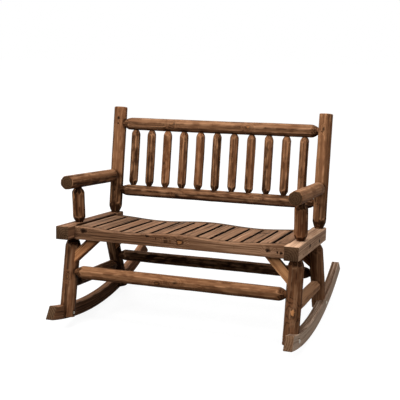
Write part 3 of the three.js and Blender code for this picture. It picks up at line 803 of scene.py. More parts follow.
def hewn_log(name):
    log, look = logs[name], LOOKS[name]
    rng = random.Random(name)
    axes = log_axes(log)
    length = (log.end - log.start).length
    along = stations_along(length, log)[:, None]
    share = along / length
    around = np.linspace(0, 2 * math.pi, LOG_SIDES, endpoint=False)[None, :]
    ends = ((log.low, along, 0, slice(1, 3)), (log.high, length - along, -1, slice(-3, -1)))
    flats, flat_shades = body_flats(rng, log, axes, along, around, look.flatness)
    cuts = []
    for tenon, from_tip, _, _ in ends:
        if tenon is not SAWN:
            cuts += knife_cuts(rng, log, tenon, from_tip, around)
    layers = np.sort(flats + cuts, axis=0)
    radius = layers[0].copy()
    shade = np.array(flat_shades)[np.argmin(flats, axis=0)]
    ridge = np.exp(-(layers[1] - layers[0]) / RIDGE_WIDTH)
    cut = np.clip((np.min(flats, axis=0) - radius) / CUT_FADE, 0, 1)
    # On the spindles a negative factor makes the upper knife cuts lighter: painted light from above
    cut *= np.where(share > 0.5, look.high_cut, 1.0)
    radius += roughness_of(rng, along, around)
    bumps = []
    for knot in look.knots:
        angle = math.radians(knot.angle)
        far = (along - knot.share * length) / (KNOT_LENGTH_SHARE * knot.size)
        aside = log.radius * folded(around - angle) / (KNOT_WIDTH_SHARE * knot.size)
        radius += KNOT_RISE_SHARE * knot.size * np.exp(-(far**2 + aside**2))
        skin = (log.radius * math.cos(angle), log.radius * math.sin(angle), knot.share * length)
        bumps.append((Vector(skin), knot.size, knot.glow))
    end = np.zeros(radius.shape)
    for tenon, from_tip, tip, rim in ends:
        if tenon is SAWN:
            left = np.clip(SAWN_ROUND - from_tip, 0, SAWN_ROUND)
            radius -= SAWN_ROUND - np.sqrt(SAWN_ROUND**2 - left**2)
            end[tip] = 1
            ridge[rim] = 1
        else:
            seat = from_tip[:, 0] <= tenon.length + tenon.neck + FIT
            radius[seat], ridge[seat], cut[seat] = tenon.radius, 0, 1
    lean = rng.uniform(0, 2 * math.pi)
    arch = look.bow * np.sin(math.pi * share) * (0.7 + 0.6 * swing(rng, along, *BOW_WAVES))
    x = radius * np.cos(around) + arch * math.cos(lean)
    y = radius * np.sin(around) + arch * math.sin(lean)
    local = np.stack(np.broadcast_arrays(x, y, along), -1).reshape(-1, 3)
    points = carried(np.vstack([local, [[0, 0, 0], [0, 0, length]]]), axes)
    piece = new_object(name + "_hewn", points, pointed_tube(len(along), LOG_SIDES))
    # Painted shade round the mouths of the sockets
    shade += painted_joint_shade(points, name)[:-2].reshape(shade.shape)
    # Painted shadow on the lower part of a post, below its arm
    shade += look.low_part[1] * np.clip((look.low_part[0] - share) / PAINTED_SHADOW_FADE_SHARE, 0, 1)
    if name in TEARS:
        low_share, high_share, low_angle, high_angle, width = TEARS[name]
        run = (share - low_share) / (high_share - low_share)
        middle = np.radians(low_angle + (high_angle - low_angle) * run)
        middle = middle + TEAR_SWING * swing(rng, along, *TEAR_WAVES)
        torn = (run > 0) & (run < 1) & (np.abs(folded(around - middle)) * log.radius < width)
        ridge[torn], shade[torn] = TORN_RIDGE, TORN_SHADE
    caps = end[[0, -1], 0]
    notes = ((ridge, (0, 0)), (end, caps), (cut, 1 - caps), (shade, (0, 0)))
    marks = Marks(points, *(np.append(values, tips) for values, tips in notes))
    heart = Vector((rng.uniform(-1, 1) * HEART_DRIFT, rng.uniform(-1, 1) * HEART_DRIFT, 0))
    knots = [(place - heart, size, glow) for place, size, glow in bumps]
    to_grain = partial(carried, matrix=(axes @ Matrix.Translation(heart)).inverted())
    cutters = []
    if "_leg_" in name:
        place, side = name.split("_leg_")
        cutters = leg_cutters(place, side, dict(SIDES)[side])
    complete(piece, name, to_grain, marks, "log_wood", knots, cutters)


# Sawn timbers, lofted through polygons

SAW_WAVINESS = 0.35 * MM
SAW_WAVES = 6
SAW_WAVE_LENGTHS = (0.05, 0.3)
EDGE_MARGIN_SHARE = 2.2
EDGE_WEAR = (0, 0.7, 1, 0.7, 0)
END_WEAR = 0.7
END_ROUND_SHARES = (1, 0.3)
END_BULGE_SHARE = 0.4
BEAM_EDGE = 3 * MM
BEAM_CORNER_STOPS = (0.0, 0.25, 0.5, 0.75, 0.9, 1.0)
BEAM_CORNER_FULLNESS = 0.98
RAIL_EDGE = 2.5 * MM
ROCKER_EDGE = 3 * MM
BRACE_EDGE = 2 * MM

# How far the heart of a timber's wood lay from its middle or its underside
BEAM_HEART = (0.02, 0.012)
RAIL_HEART = (0.05, -0.02)
BRACE_HEART = 0.03


def unit(vectors):
    return vectors / np.linalg.norm(vectors, axis=-1, keepdims=True)


def eased_ring(corners, edge, cuts):
    """A polygon with eased corners, as points and their wear."""
    points, wear = [], []
    for i, corner in enumerate(corners):
        after = corners[(i + 1) % len(corners)]
        to_last = edge * (corners[i - 1] - corner).normalized()
        to_next = edge * (after - corner).normalized()
        margins = (EDGE_MARGIN_SHARE * to_last, EDGE_MARGIN_SHARE * to_next)
        steps = (margins[0], to_last, 0.25 * (to_last + to_next), to_next, margins[1])
        points += [corner + step for step in steps]
        away, goal = points[-1], after - margins[1]
        points += [away.lerp(goal, k / (cuts[i] + 1)) for k in range(1, cuts[i] + 1)]
        wear += [*EDGE_WEAR] + [0] * cuts[i]
    return points, wear


def sawn_timber(name, sections, edge, cuts):
    """A timber lofted through level sections, a little uneven from the saw, and its marks."""
    rng = random.Random(name + " saw")
    rings = [eased_ring([stand @ Vector(place) for place in section], edge, cuts) for section in sections]
    spots = np.array([points for points, _ in rings])
    wear = np.array(rings[0][1], float)
    middles = spots.mean(axis=1)

    def capped(row, near):
        """The rings that round off one sawn end, from its face inwards."""
        to_middle = edge * unit(middles[row] - spots[row])
        inward = edge * unit(middles[near] - middles[row])
        rows = []
        for share in END_ROUND_SHARES:
            rows.append(spots[row] + share * to_middle + END_BULGE_SHARE * (1 - share) * inward)
        return rows + [spots[row] + inward]

    stack = np.array([*capped(0, 1), *spots[1:-1], *capped(-1, -2)[::-1]])
    points = stack.reshape(-1, 3)
    wave = 0
    for _ in range(SAW_WAVES):
        way = unit(np.array([rng.gauss(0, 1) for _ in range(3)]))
        turns = points @ way / rng.uniform(*SAW_WAVE_LENGTHS)
        wave = wave + np.sin(2 * math.pi * turns + rng.uniform(0, 6))
    away = unit(stack - stack.mean(axis=1, keepdims=True)).reshape(-1, 3)
    points = points + away * (SAW_WAVINESS * wave / SAW_WAVES)[:, None]
    piece = new_object(name + "_sawn", points, flat_tube(len(stack), len(wear)))
    ridge = np.tile(wear, (len(stack), 1))
    ridge[[1, -2]] = np.maximum(wear, END_WEAR)
    end = np.zeros(ridge.shape)
    end[[0, 1, -2, -1]] = 1
    return piece, Marks(points, ridge.ravel(), end.ravel(), np.zeros(end.size), np.zeros(end.size))


def make_beam(side, sign):
    name = f"seat_beam_{side}"
    low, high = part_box(name)
    bottom = BEAM_TOP - BEAM_HEIGHT
    straight = BEAM_LENGTH - BEAM_REAR_CORNER
    steps = math.ceil(straight / TIMBER_STEP)
    stops = [(straight * k / steps, 0) for k in range(steps)]
    for share in BEAM_CORNER_STOPS:
        inset = BEAM_REAR_CORNER * (1 - math.sqrt(1 - (share * BEAM_CORNER_FULLNESS) ** 2))
        stops.append((straight + BEAM_REAR_CORNER * share, inset))
    sections = []
    for y, inset in stops:
        x0, x1 = low.x + inset, high.x - inset
        sections.append([(x0, y, bottom), (x1, y, bottom), (x1, y, BEAM_TOP), (x0, y, BEAM_TOP)])
    piece, marks = sawn_timber(name, sections, BEAM_EDGE, (3, 3, 3, 3))
    x, y, _ = carried(marks.points, to_level).T
    beside_slats = (y > RAIL_Y["front"] + RAIL_DEPTH / 2) & (y < RAIL_Y["rear"])
    # Painted shade in the gap beside the slats, kept free of wear
    painted_seam = beside_slats & (np.abs(x - side_of(name, -sign)) < SEAM_PAINTED_SHADE_WIDTH)
    marks.shade[painted_seam] = SEAM_PAINTED_SHADE
    marks.ridge[painted_seam] = 0
    heart = ((low.x + high.x) / 2 - sign * BEAM_HEART[0], 0, bottom + BEAM_HEART[1])
    complete_board(piece, name, heart, back_way, right_way, marks, "beam_wood")


def saddle(x):
    """Height of the doubly scooped seat at a distance from the middle."""
    half = side_of("seat_beam_right", -1)
    return SADDLE_TOP - SADDLE_DEPTH * (1 - math.cos(2 * math.pi * x / half)) / 2


def make_rail(place):
    name = f"seat_{place}_rail"
    half = side_of("seat_beam_right", -1) - FIT
    outer = RAIL_Y[place]
    inner = outer + INWARD[place] * RAIL_DEPTH
    lip = outer + INWARD[place] * RAIL_LIP[place]
    steps = math.ceil(2 * half / TIMBER_STEP)
    sections = []
    for k in range(steps + 1):
        x = half * (2 * k / steps - 1)
        top = saddle(x)
        ledge = top - SLAT_THICKNESS - FIT
        below = [(x, outer, RAIL_BOTTOM), (x, inner, RAIL_BOTTOM), (x, inner, ledge)]
        sections.append(below + [(x, lip, ledge), (x, lip, top), (x, outer, top)])
    piece, marks = sawn_timber(name, sections, RAIL_EDGE, (3, 3, 0, 0, 2, 3))
    heart = (0, (outer + inner) / 2 + RAIL_HEART[0], RAIL_BOTTOM + RAIL_HEART[1])
    complete_board(piece, name, heart, right_way, -back_way, marks, "beam_wood")


def make_rocker(side):
    name = f"rocker_{side}"
    low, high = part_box(name)
    slant = ROCKER_END_SLANT / ROCKER_TOP_RADIUS
    span = ROCKER_REAR_ANGLE - ROCKER_FRONT_ANGLE
    steps = math.ceil(span * ROLL_RADIUS / TIMBER_STEP)
    sections = []
    for k in range(steps + 1):
        below = ROCKER_FRONT_ANGLE + span * k / steps
        above = ROCKER_FRONT_ANGLE + slant + (span - 2 * slant) * k / steps
        section = [on_arc(x, ROLL_RADIUS, below) for x in (low.x, high.x)]
        sections.append(section + [on_arc(x, ROCKER_TOP_RADIUS, above) for x in (high.x, low.x)])
    piece, marks = sawn_timber(name, sections, ROCKER_EDGE, (2, 4, 2, 4))
    radius = curved_grain(marks.points, 0, 0)[:, 1]
    # Painted light on the left rocker's top face, painted shadow on the right one's
    marks.shade[radius < ROCKER_TOP_RADIUS + 1 * MM] = ROCKER_TOP_PAINTED_LIGHT_AND_SHADE[side]
    aside, heart_radius = ROCKER_HEART[side]
    to_grain = partial(curved_grain, heart_x=(low.x + high.x) / 2 + aside, heart_radius=heart_radius)
    complete(piece, name, to_grain, marks, "rocker_wood")


def make_brace(place, side, sign):
    """A brace from inside its leg, where it is coped away, to a level cut under the rail."""
    name = f"brace_{place}_{side}"
    leg = logs[f"{place}_leg_{side}"]
    back = leg_back(place, side)
    up = Vector((0, -back.z, back.y))
    foot = leg_point(place, side, sign * (abs(leg.start.x) - leg.radius), BRACE_FOOT_Z)
    foot += back * BRACE_SHIFT[place]
    rise = (up - sign * right_way) * math.sqrt(0.5)
    across = (up + sign * right_way) * math.sqrt(0.5)
    sections = []
    for k in range(BRACE_STEPS + 1):
        section = []
        for wide, deep in SQUARE:
            base = foot + across * wide * BRACE_WIDTH / 2 + back * deep * BRACE_THICKNESS / 2
            reach = (RAIL_BOTTOM - FIT - base.z) / rise.z
            section.append(base + rise * ((reach + leg.radius) * k / BRACE_STEPS - leg.radius))
        sections.append(section)
    coping = drum(leg.start, way_of(leg), leg.radius - FIT, 0, OVERRUN * 6)
    piece, marks = sawn_timber(name, sections, BRACE_EDGE, (1, 1, 1, 1))
    complete_board(piece, name, foot + back * BRACE_HEART, rise, back, marks, "brace_wood", [coping])


# Geometry Nodes

def fill_sockets(tree, node, sockets):
    """Links or sets a node's inputs, given by name or number."""
    for key, value in sockets.items():
        if isinstance(value, bpy.types.NodeSocket):
            tree.links.new(value, node.inputs[key])
        else:
            node.inputs[key].default_value = value


def add_node(tree, kind, sockets=None, **settings):
    """Adds a node with its settings and inputs, and gives its outputs."""
    made = tree.nodes.new(kind)
    for key, value in settings.items():
        setattr(made, key, value)
    fill_sockets(tree, made, sockets or {})
    return made.outputs


def add_sockets(tree, direction, kinds):
    for label, kind in kinds.items():
        tree.interface.new_socket(label, in_out=direction, socket_type="NodeSocket" + kind)


def geometry_tree(name, kinds):
    """A geometry tree with its named inputs, and a way to add nodes to it."""
    tree = bpy.data.node_groups.new(name, "GeometryNodeTree")
    add_sockets(tree, "INPUT", {"Geometry": "Geometry", **kinds, "Finish": "Material"})
    add_sockets(tree, "OUTPUT", {"Geometry": "Geometry"})
    return tree, add_node(tree, "NodeGroupInput"), partial(add_node, tree)


def end_tree(tree, shape, finish):
    real = add_node(tree, "GeometryNodeRealizeInstances", {"Geometry": shape})
    done = add_node(tree, "GeometryNodeSetMaterial", {"Geometry": real["Geometry"], "Material": finish})
    add_node(tree, "NodeGroupOutput", {"Geometry": done["Geometry"]})
    return tree


def shape_by(tree, piece, values):
    """Shapes a piece by a tree with these input values, and settles it."""
    change = piece.modifiers.new("shape", "NODES")
    change.node_group = tree
    for item in tree.interface.items_tree:
        if item.name in values:
            change[item.identifier] = values[item.name]
    settle(piece)


def board_tree():
    """A board with eased edges and a slightly uneven top, along +Y from its front end."""
    lengths = dict.fromkeys(("Width", "Thickness", "Length", "Edge", "Waviness"), "Float")
    tree, given, make = geometry_tree("seat board", {**lengths, "Seed": "Int"})
    sizes = {"Width": given["Width"], "Height": given["Thickness"]}
    outline = make("GeometryNodeCurvePrimitiveQuadrilateral", sizes)[0]
    corners = {"Curve": outline, "Count": 3, "Radius": given["Edge"]}
    profile = make("GeometryNodeFilletCurve", corners, mode="POLY")[0]
    far_end = make("ShaderNodeCombineXYZ", {"Y": given["Length"]})[0]
    line = make("GeometryNodeCurvePrimitiveLine", {"End": far_end})[0]
    path = make("GeometryNodeResampleCurve", {"Curve": line, "Count": BOARD_STEPS})[0]
    board = make("GeometryNodeCurveToMesh", {"Curve": path, "Profile Curve": profile, "Fill Caps": True})[0]
    noise = {"W": given["Seed"], "Scale": 9.0, "Detail": 1.0}
    unevenness = make("ShaderNodeTexNoise", noise, noise_dimensions="4D")["Color"]
    halves = (0.5, 0.5, 0.5)
    centred = make("ShaderNodeVectorMath", {0: unevenness, 1: halves}, operation="SUBTRACT")[0]
    sized = make("ShaderNodeVectorMath", {0: centred, "Scale": given["Waviness"]}, operation="SCALE")[0]
    moved = make("GeometryNodeSetPosition", {"Geometry": board, "Offset": sized})[0]
    return end_tree(tree, moved, given["Finish"])


def fastener_tree():
    """One head on every point, each facing along the point's own direction."""
    tree, given, make = geometry_tree("fasteners", {"Head": "Object"})
    head = make("GeometryNodeObjectInfo", {"Object": given["Head"]})["Geometry"]
    facing, spin = (
        make("GeometryNodeInputNamedAttribute", {"Name": name}, data_type="FLOAT_VECTOR")["Attribute"]
        for name in ("facing", "spin")
    )
    turn = make("FunctionNodeAlignRotationToVector", {"Vector": facing}, axis="Z")[0]
    spins = {"Rotation": turn, "Rotate By": spin}
    spun = make("FunctionNodeRotateRotation", spins, rotation_space="LOCAL")[0]
    points = {"Points": given["Geometry"], "Instance": head, "Rotation": spun}
    heads = make("GeometryNodeInstanceOnPoints", points)[0]
    return end_tree(tree, heads, given["Finish"])


# How deep in from a board's faces its worn rounding, its sides, which carry the painted shade of the gaps
# between the slats, and its ends lie
SLAT_ROUND_FROM = 0.3 * MM
SLAT_ROUND_TO = 2.4 * MM
SLAT_SHADED_SIDE_FROM = 0.4 * MM
SLAT_END_DEPTH = 0.5 * MM


def make_slat(name, tree):
    low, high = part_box(name)
    width = high.x - low.x
    z0, z1 = saddle(low.x), saddle(high.x)
    front = RAIL_Y["front"] + RAIL_LIP["front"] + FIT
    length = RAIL_Y["rear"] - RAIL_LIP["rear"] - FIT - front
    piece = new_object(name + "_board", [(0, 0, 0)], [])
    shape_by(tree, piece, {
        "Width": width,
        "Thickness": SLAT_THICKNESS,
        "Length": length,
        "Edge": SLAT_EDGE,
        "Waviness": SLAT_WAVINESS,
        "Seed": int(name[-2:]),
        "Finish": materials["stained_slat"],
    })
    middle = Vector(((low.x + high.x) / 2, front, (z0 + z1) / 2 - SLAT_THICKNESS / 2))
    slope = math.atan2(z1 - z0, width)
    lay = stand @ Matrix.Translation(middle) @ Matrix.Rotation(-slope, 4, "Y")
    piece.data.transform(lay)
    points = points_of(piece.data)
    x, y, z = carried(points, lay.inverted()).T
    beside = np.array([width / 2 - np.abs(x), SLAT_THICKNESS / 2 - np.abs(z)])
    ridge = (beside.min(axis=0) > SLAT_ROUND_FROM) & (beside.max(axis=0) < SLAT_ROUND_TO)
    # The sides go in as cut marks, which the slat finish turns into painted shade in the gaps
    painted_gap_side = beside[1] > SLAT_SHADED_SIDE_FROM
    end = np.abs(y - length / 2) > length / 2 - SLAT_END_DEPTH
    marks = Marks(points, *(note.astype(float) for note in (ridge, end, painted_gap_side)), np.zeros(len(points)))
    rng = random.Random(name + " heart")
    heart = middle + Vector((rng.uniform(-0.03, 0.03), 0, -rng.uniform(0.02, 0.07)))
    complete_board(piece, name, heart, back_way, right_way, marks, "slat_wood")


# Screws, bolts and nuts

SCREW_PROFILE_MM = ((0, -5), (1.6, -5), (1.9, -2.6), (4.1, -0.5), (4.1, 0), (0, 0))
RECESS_ARM = 2.2 * MM
RECESS_HALF_WIDTH = 0.5 * MM
RECESS_DEPTH = 1.7 * MM
RECESS_SHARES = (0.35, 1.4)

def turned_body(name, profile, sides):
    return new_object(name, *turned(profile, Vector(), Vector((0, 0, 1)), sides))


def screw_head():
    """A countersunk head with a cross recess, its face at z = 0 and looking along +Z."""
    head = turned_body("screw_head", [(radius * MM, z * MM) for radius, z in SCREW_PROFILE_MM], 20)
    arm, half, deep = RECESS_ARM, RECESS_HALF_WIDTH, RECESS_DEPTH
    bars = []
    for order in (1, -1):
        points = []
        for z, share in zip((-deep, deep), RECESS_SHARES):
            points += [(*(x * arm * share, y * half)[::order], z) for x, y in SQUARE]
        bars.append((points, flat_tube(2, len(SQUARE))))
    cut_away(head, bars)
    return head


def bolt_body():
    """A dome-headed bolt, the underside of its head at z = 0 and its head towards +Z."""
    rise, radius, rim, chamfer = 4.5 * MM, 9 * MM, 0.6 * MM, 0.8 * MM
    angles = [math.pi / 16 * k for k in range(1, 9)]
    dome = [(radius * math.sin(angle), rim + (rise - rim) * math.cos(angle)) for angle in angles]
    low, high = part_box("rocker_bolt_front_right")
    tip = low.x + rise - high.x
    shank = [(radius, 0), (BOLT_RADIUS, 0), (BOLT_RADIUS, tip + chamfer), (BOLT_RADIUS - chamfer, tip)]
    return turned_body("bolt_body", [(0, rise), *dome, *shank, (0, tip)], 32)


def nut_body():
    """A flanged six-sided nut with its flange face at z = 0 and its body towards +Z."""
    flange, corner, bore = 10 * MM, 7.5 * MM, BOLT_RADIUS + FIT
    top, sixth = FLANGE_THICKNESS + NUT_THICKNESS, math.pi / 3
    round_rings = [(bore, 0), (flange, 0), (flange, 0.8 * MM), (8.6 * MM, FLANGE_THICKNESS)]
    hexed_rings = [(corner, FLANGE_THICKNESS), (corner, top - 0.7 * MM)]
    rings = round_rings + hexed_rings + [(corner * 0.9, top), (bore, top)]
    points, faces = [], []
    for radius, z in rings:
        for k in range(NUT_SIDES):
            angle = 2 * math.pi * k / NUT_SIDES
            flat = math.cos(sixth / 2) / math.cos((angle + sixth / 2) % sixth - sixth / 2)
            reach = radius * (flat if (radius, z) in hexed_rings else 1)
            points.append((reach * math.cos(angle), reach * math.sin(angle), z))
    for row in range(len(rings)):
        faces += band(row * NUT_SIDES, (row + 1) % len(rings) * NUT_SIDES, NUT_SIDES)
    return new_object("nut_body", points, faces)


def set_fasteners(name, tree, head, places, finish, *replaced):
    """Puts one head at each (point, facing) place, as a single plain mesh."""
    piece = new_object(name, [spot for spot, _ in places], [])
    rng = random.Random(name)
    write_vectors(piece.data, "facing", [way for _, way in places])
    write_vectors(piece.data, "spin", [(0, 0, rng.uniform(0, math.pi)) for _ in places])
    shape_by(tree, piece, {"Head": head, "Finish": materials[finish]})
    bpy.data.objects.remove(head)
    soften(piece, METAL_SMOOTH_BELOW)
    declare(piece, "zinc_steel", *replaced)


def make_fasteners():
    tree = fastener_tree()
    screws = [(pin.entry + pin.direction * (PIT_DEPTH - SCREW_SINK), -pin.direction) for pin in pins]
    set_fasteners("wood_screws", tree, screw_head(), screws, "bronzed")
    bolts, nuts = [], []
    for side, sign in SIDES:
        out = sign * right_way
        for place in PLACES:
            centre = bolt_centre(place, side, sign)
            bolts.append((centre + out * FIT, out))
            nuts.append((centre - out * (spot_face_distance(place, side) + FIT), -out))
    for kind, body, places in (("bolt", bolt_body(), bolts), ("nut", nut_body(), nuts)):
        replaced = [name for name in nodes if name.startswith(f"rocker_{kind}")]
        set_fasteners(f"rocker_{kind}s", tree, body, places, "zinc", *replaced)


# Materials

NOTES = ("Grain", "Knot", "Marks", "Tint")
STAINS = ("Dark", "Middle", "Light", "End")
NUMBERS = ("Ring Width", "Streaks", "Blotches", "Wear", "Cut Shade")
WOODS = {
    "stained_log": ("2c1a0e", "69462e", "a57855", "5c4431", 4.6 * MM, 1.0, 0.42, 0.85, -0.25),
    "smooth_log": ("2c1a0e", "694831", "9e7657", "503b29", 4.6 * MM, 0.85, 0.42, 0.85, -0.15),
    # The slats' cut shade of -2.0 darkens their sides fully, as painted shade in the gaps between them
    "stained_slat": ("170e07", "7e5e47", "ba9579", "544030", 5.5 * MM, 1.1, 0.45, 0.0, -2.0),
    "stained_beam": ("26170d", "6a4c37", "a47d60", "5c4532", 5.0 * MM, 1.5, 0.8, 0.6, -0.2),
    # Lighter copies of the stains for the right beam and rocker: painted light
    "weathered_beam": ("2e1b10", "876750", "bd9a7e", "5c4532", 5.0 * MM, 1.5, 0.8, 0.6, -0.2),
    "weathered_rocker": ("2c1a0f", "6f5644", "b8a08c", "785a43", 5.0 * MM, 1.7, 0.9, 0.5, -0.2),
    "stained_brace": ("361e10", "805638", "b1835a", "5a412b", 4.5 * MM, 1.6, 0.9, 0.5, -0.2),
}
STEELS = {"zinc": ("a39c90", "6d6458"), "bronzed": ("6e4a30", "3d2819")}
CRACK_COLOUR = (0.012, 0.007, 0.004, 1.0)
WARMTH_COLOUR = (1.08, 0.98, 0.92, 1.0)
KNOT_COLOURS = ("1a0e07", "b87c4c")
KNOT_RIM_COLOUR = "1d110a"
GRAIN_RELIEF = 0.9 * MM
SPECULAR_LEVEL = 0.015


def linear(hex_colour):
    """A screen colour written as six hex digits, as the renderer's linear colour."""
    parts = [int(hex_colour[k:k + 2], 16) / 255 for k in (0, 2, 4)]
    return [p / 12.92 if p <= 0.04045 else ((p + 0.055) / 1.055) ** 2.4 for p in parts] + [1.0]


def calculate(tree, operation, *values):
    return add_node(tree, "ShaderNodeMath", dict(enumerate(values)), operation=operation)[0]


def scaled(tree, vector, factors):
    return add_node(tree, "ShaderNodeVectorMath", {0: vector, 1: factors}, operation="MULTIPLY")[0]


def length_of(tree, vector):
    return add_node(tree, "ShaderNodeVectorMath", {0: vector}, operation="LENGTH")["Value"]


def noise_of(tree, vector, factors, detail=2.0, rough=0.5):
    """Noise of about -0.5 to 0.5 on a vector stretched by three factors."""
    sockets = {"Vector": scaled(tree, vector, factors), "Scale": 1.0, "Detail": detail, "Roughness": rough}
    return calculate(tree, "SUBTRACT", add_node(tree, "ShaderNodeTexNoise", sockets)["Fac"], 0.5)


def eased(tree, value, low, high, to_low=0.0, to_high=1.0):
    labels = ("Value", "From Min", "From Max", "To Min", "To Max")
    sockets = dict(zip(labels, (value, low, high, to_low, to_high)))
    return add_node(tree, "ShaderNodeMapRange", sockets, interpolation_type="SMOOTHSTEP")["Result"]


def mixed(tree, share, first, second, blend="MIX"):
    sockets = {0: share, 6: first, 7: second}
    return add_node(tree, "ShaderNodeMix", sockets, data_type="RGBA", blend_type=blend)[2]


def wood_group():
    """Stained wood: growth rings, fibres, blotches, knots, drying cracks, wear and end grain, with the
    painted light and shade that the tint and cut marks carry.
    """
    tree = bpy.data.node_groups.new("stained wood", "ShaderNodeTree")
    for labels, kind in ((NOTES, "Vector"), (STAINS, "Color"), (NUMBERS, "Float")):
        add_sockets(tree, "INPUT", dict.fromkeys(labels, kind))
    add_sockets(tree, "OUTPUT", {"Color": "Color", "Roughness": "Float", "Height": "Float"})
    maths, noise, fade, mix = (partial(make, tree) for make in (calculate, noise_of, eased, mixed))
    times, power, sine = partial(maths, "MULTIPLY"), partial(maths, "POWER"), partial(maths, "SINE")

    def total(start, *terms):
        """A value with others added to it, each times its own factor."""
        for value, factor in terms:
            start = maths("MULTIPLY_ADD", value, factor, start)
        return start

    given = add_node(tree, "NodeGroupInput")
    grain = given["Grain"]
    place, marks, tint = (
        add_node(tree, "ShaderNodeSeparateXYZ", {0: given[label]}) for label in ("Grain", "Marks", "Tint")
    )
    to_knot = scaled(tree, given["Knot"], (1.0, 1.0, 0.72))
    knot = total(length_of(tree, to_knot), (noise(to_knot, (1.1, 1.1, 1.1)), 1.3))

    # Growth rings, pulled aside by the knots
    radius = maths("SQRT", maths("ADD", power(place["X"], 2.0), power(place["Y"], 2.0)))
    reach = total(radius, (noise(grain, (10, 10, 1.0)), 0.016), (fade(knot, 4.0, 0.4), 0.012))
    turns = maths("DIVIDE", reach, given["Ring Width"])
    ring = power(total(0.5, (sine(times(turns, 2 * math.pi)), 0.5)), 3.0)

    # The stain, from dark to light, with the painted light and shade brought by the tint and the cut marks
    fibre = noise(grain, (420, 420, 9), 3.0, 0.6)
    streak = noise(grain, (110, 110, 1.6), 4.0, 0.66)
    blotch = noise(grain, (14, 14, 2.4), 3.0)
    shade = total(0.5, (streak, given["Streaks"]), (blotch, given["Blotches"]), (fibre, 0.7), (ring, -0.22))
    shade = total(shade, (tint["X"], 1.0), (marks["Z"], given["Cut Shade"]))
    darker = mix(fade(shade, 0.08, 0.5), given["Dark"], given["Middle"])
    colour = mix(fade(shade, 0.5, 0.95), darker, given["Light"])
    warm_patch = total(tint["Y"], (noise(grain, (9, 9, 3.0)), 1.4))
    colour = mix(fade(warm_patch, 0.0, 1.0), colour, mix(1.0, colour, WARMTH_COLOUR, "MULTIPLY"))

    # Drying cracks
    crack_line = fade(maths("ABSOLUTE", noise(grain, (62, 62, 1.1), 1.0)), 0.014, 0.003)
    crack = times(crack_line, fade(noise(grain, (17, 17, 3.0), 1.0), 0.10, 0.16))
    colour = mix(times(times(crack, 0.55), given["Streaks"]), colour, CRACK_COLOUR)

    # Knots
    rim = times(fade(knot, 0.55, 0.85), fade(knot, 1.35, 0.95))
    core = mix(tint["Z"], *map(linear, KNOT_COLOURS))
    colour = mix(fade(knot, 0.85, 0.6), colour, core)
    colour = mix(times(rim, 0.8), colour, linear(KNOT_RIM_COLOUR))

    # Worn ridges
    worn = times(marks["X"], fade(noise(grain, (40, 40, 18)), -0.12, 0.12))
    colour = mix(times(worn, given["Wear"]), colour, given["Light"])

    # Sawn ends
    bent = total(maths("ARCTAN2", place["Y"], place["X"]), (noise(grain, (60, 60, 60)), 1.2))
    check = times(fade(sine(times(bent, 7.0)), 0.95, 0.99), fade(radius, 0.05, 0.03))
    end_wave, end_noise = sine(times(turns, math.pi)), noise(grain, (300, 300, 300), 3.0)
    end_shade = total(0.62, (end_wave, 0.2), (end_noise, 1.2), (check, -0.45))
    end_colour = mix(fade(end_shade, 0.0, 1.0), given["Dark"], given["End"])

    add_node(tree, "NodeGroupOutput", {
        "Color": mix(marks["Y"], colour, end_colour),
        "Roughness": total(0.66, (fibre, 0.25), (marks["Y"], 0.2), (ring, -0.06)),
        "Height": total(times(streak, 0.5), (fibre, 0.35), (ring, -0.12), (crack, -1.2), (rim, -0.4)),
    })
    return tree


def shader_of(name):
    material = bpy.data.materials.new(name)
    material.use_nodes = True
    tree = material.node_tree
    return material, tree, tree.nodes["Principled BSDF"]


def wood(name, group, stain):
    material, tree, shader = shader_of(name)
    sockets = dict(zip(STAINS + NUMBERS, [*map(linear, stain[:4]), *stain[4:]]))
    for label in NOTES:
        sockets[label] = add_node(tree, "ShaderNodeAttribute", attribute_name=label.lower())["Vector"]
    made = add_node(tree, "ShaderNodeGroup", sockets, node_tree=group)
    relief = {"Height": made["Height"], "Distance": GRAIN_RELIEF, "Strength": 0.9}
    fill_sockets(tree, shader, {
        "Base Color": made["Color"],
        "Roughness": made["Roughness"],
        "Normal": add_node(tree, "ShaderNodeBump", relief)["Normal"],
        "Specular IOR Level": SPECULAR_LEVEL,
    })
    return material


def steel(name, clean, dulled):
    material, tree, shader = shader_of(name)
    place = add_node(tree, "ShaderNodeTexCoord")["Object"]
    cloud = noise_of(tree, place, (420, 420, 420), 3.0)
    fill_sockets(tree, shader, {
        "Base Color": mixed(tree, eased(tree, cloud, -0.1, 0.25), linear(clean), linear(dulled)),
        "Roughness": calculate(tree, "MULTIPLY_ADD", cloud, 0.4, 0.42),
        "Metallic": 1.0,
    })
    return material


def make_materials():
    group = wood_group()
    made = {name: wood(name, group, stain) for name, stain in WOODS.items()}
    return made | {name: steel(name, *colours) for name, colours in STEELS.items()}


# Floor, light and camera

FLOOR_HALF = 20.0
FLOOR_COLOUR = (0.07, 0.06, 0.05, 1)
FLOOR_PALE = (0.14, 0.14, 0.14, 1)
FLOOR_FADE = (1.2, 2.8)
FLOOR_WHITES = (0.92, 1.0)
WORLD_LIGHT = 0.06
LAMP_TARGET = Vector((0, 0, 0.5))
LAMPS = {
    "overhead": ((0.1, -0.8, 3.1), (2.2, 1.8), 112),
    "key": ((-1.7, -3.4, 2.7), (1.6, 1.6), 104),
    "side": ((3.4, -0.9, 1.9), (1.6, 1.6), 38),
    "rear": ((-2.3, 2.5, 2.9), (2.0, 1.8), 80),
}
CAMERA_FROM_CONTACT = (1.3166, -3.4671, 1.4510)
CAMERA_AZIMUTH = 18.936
CAMERA_DROP = 13.208
CAMERA_ROLL = -0.353
FOCAL_LENGTH_PX = 786.93
FRAME_PX = 400
OPTICAL_CENTRE_X_PX = 225
SENSOR_MM = 36


def to_eye(tree):
    """1 for the rays by which the camera sees a surface, itself or in a gloss."""
    seen = add_node(tree, "ShaderNodeLightPath")
    return calculate(tree, "MAXIMUM", seen["Is Camera Ray"], seen["Is Glossy Ray"])


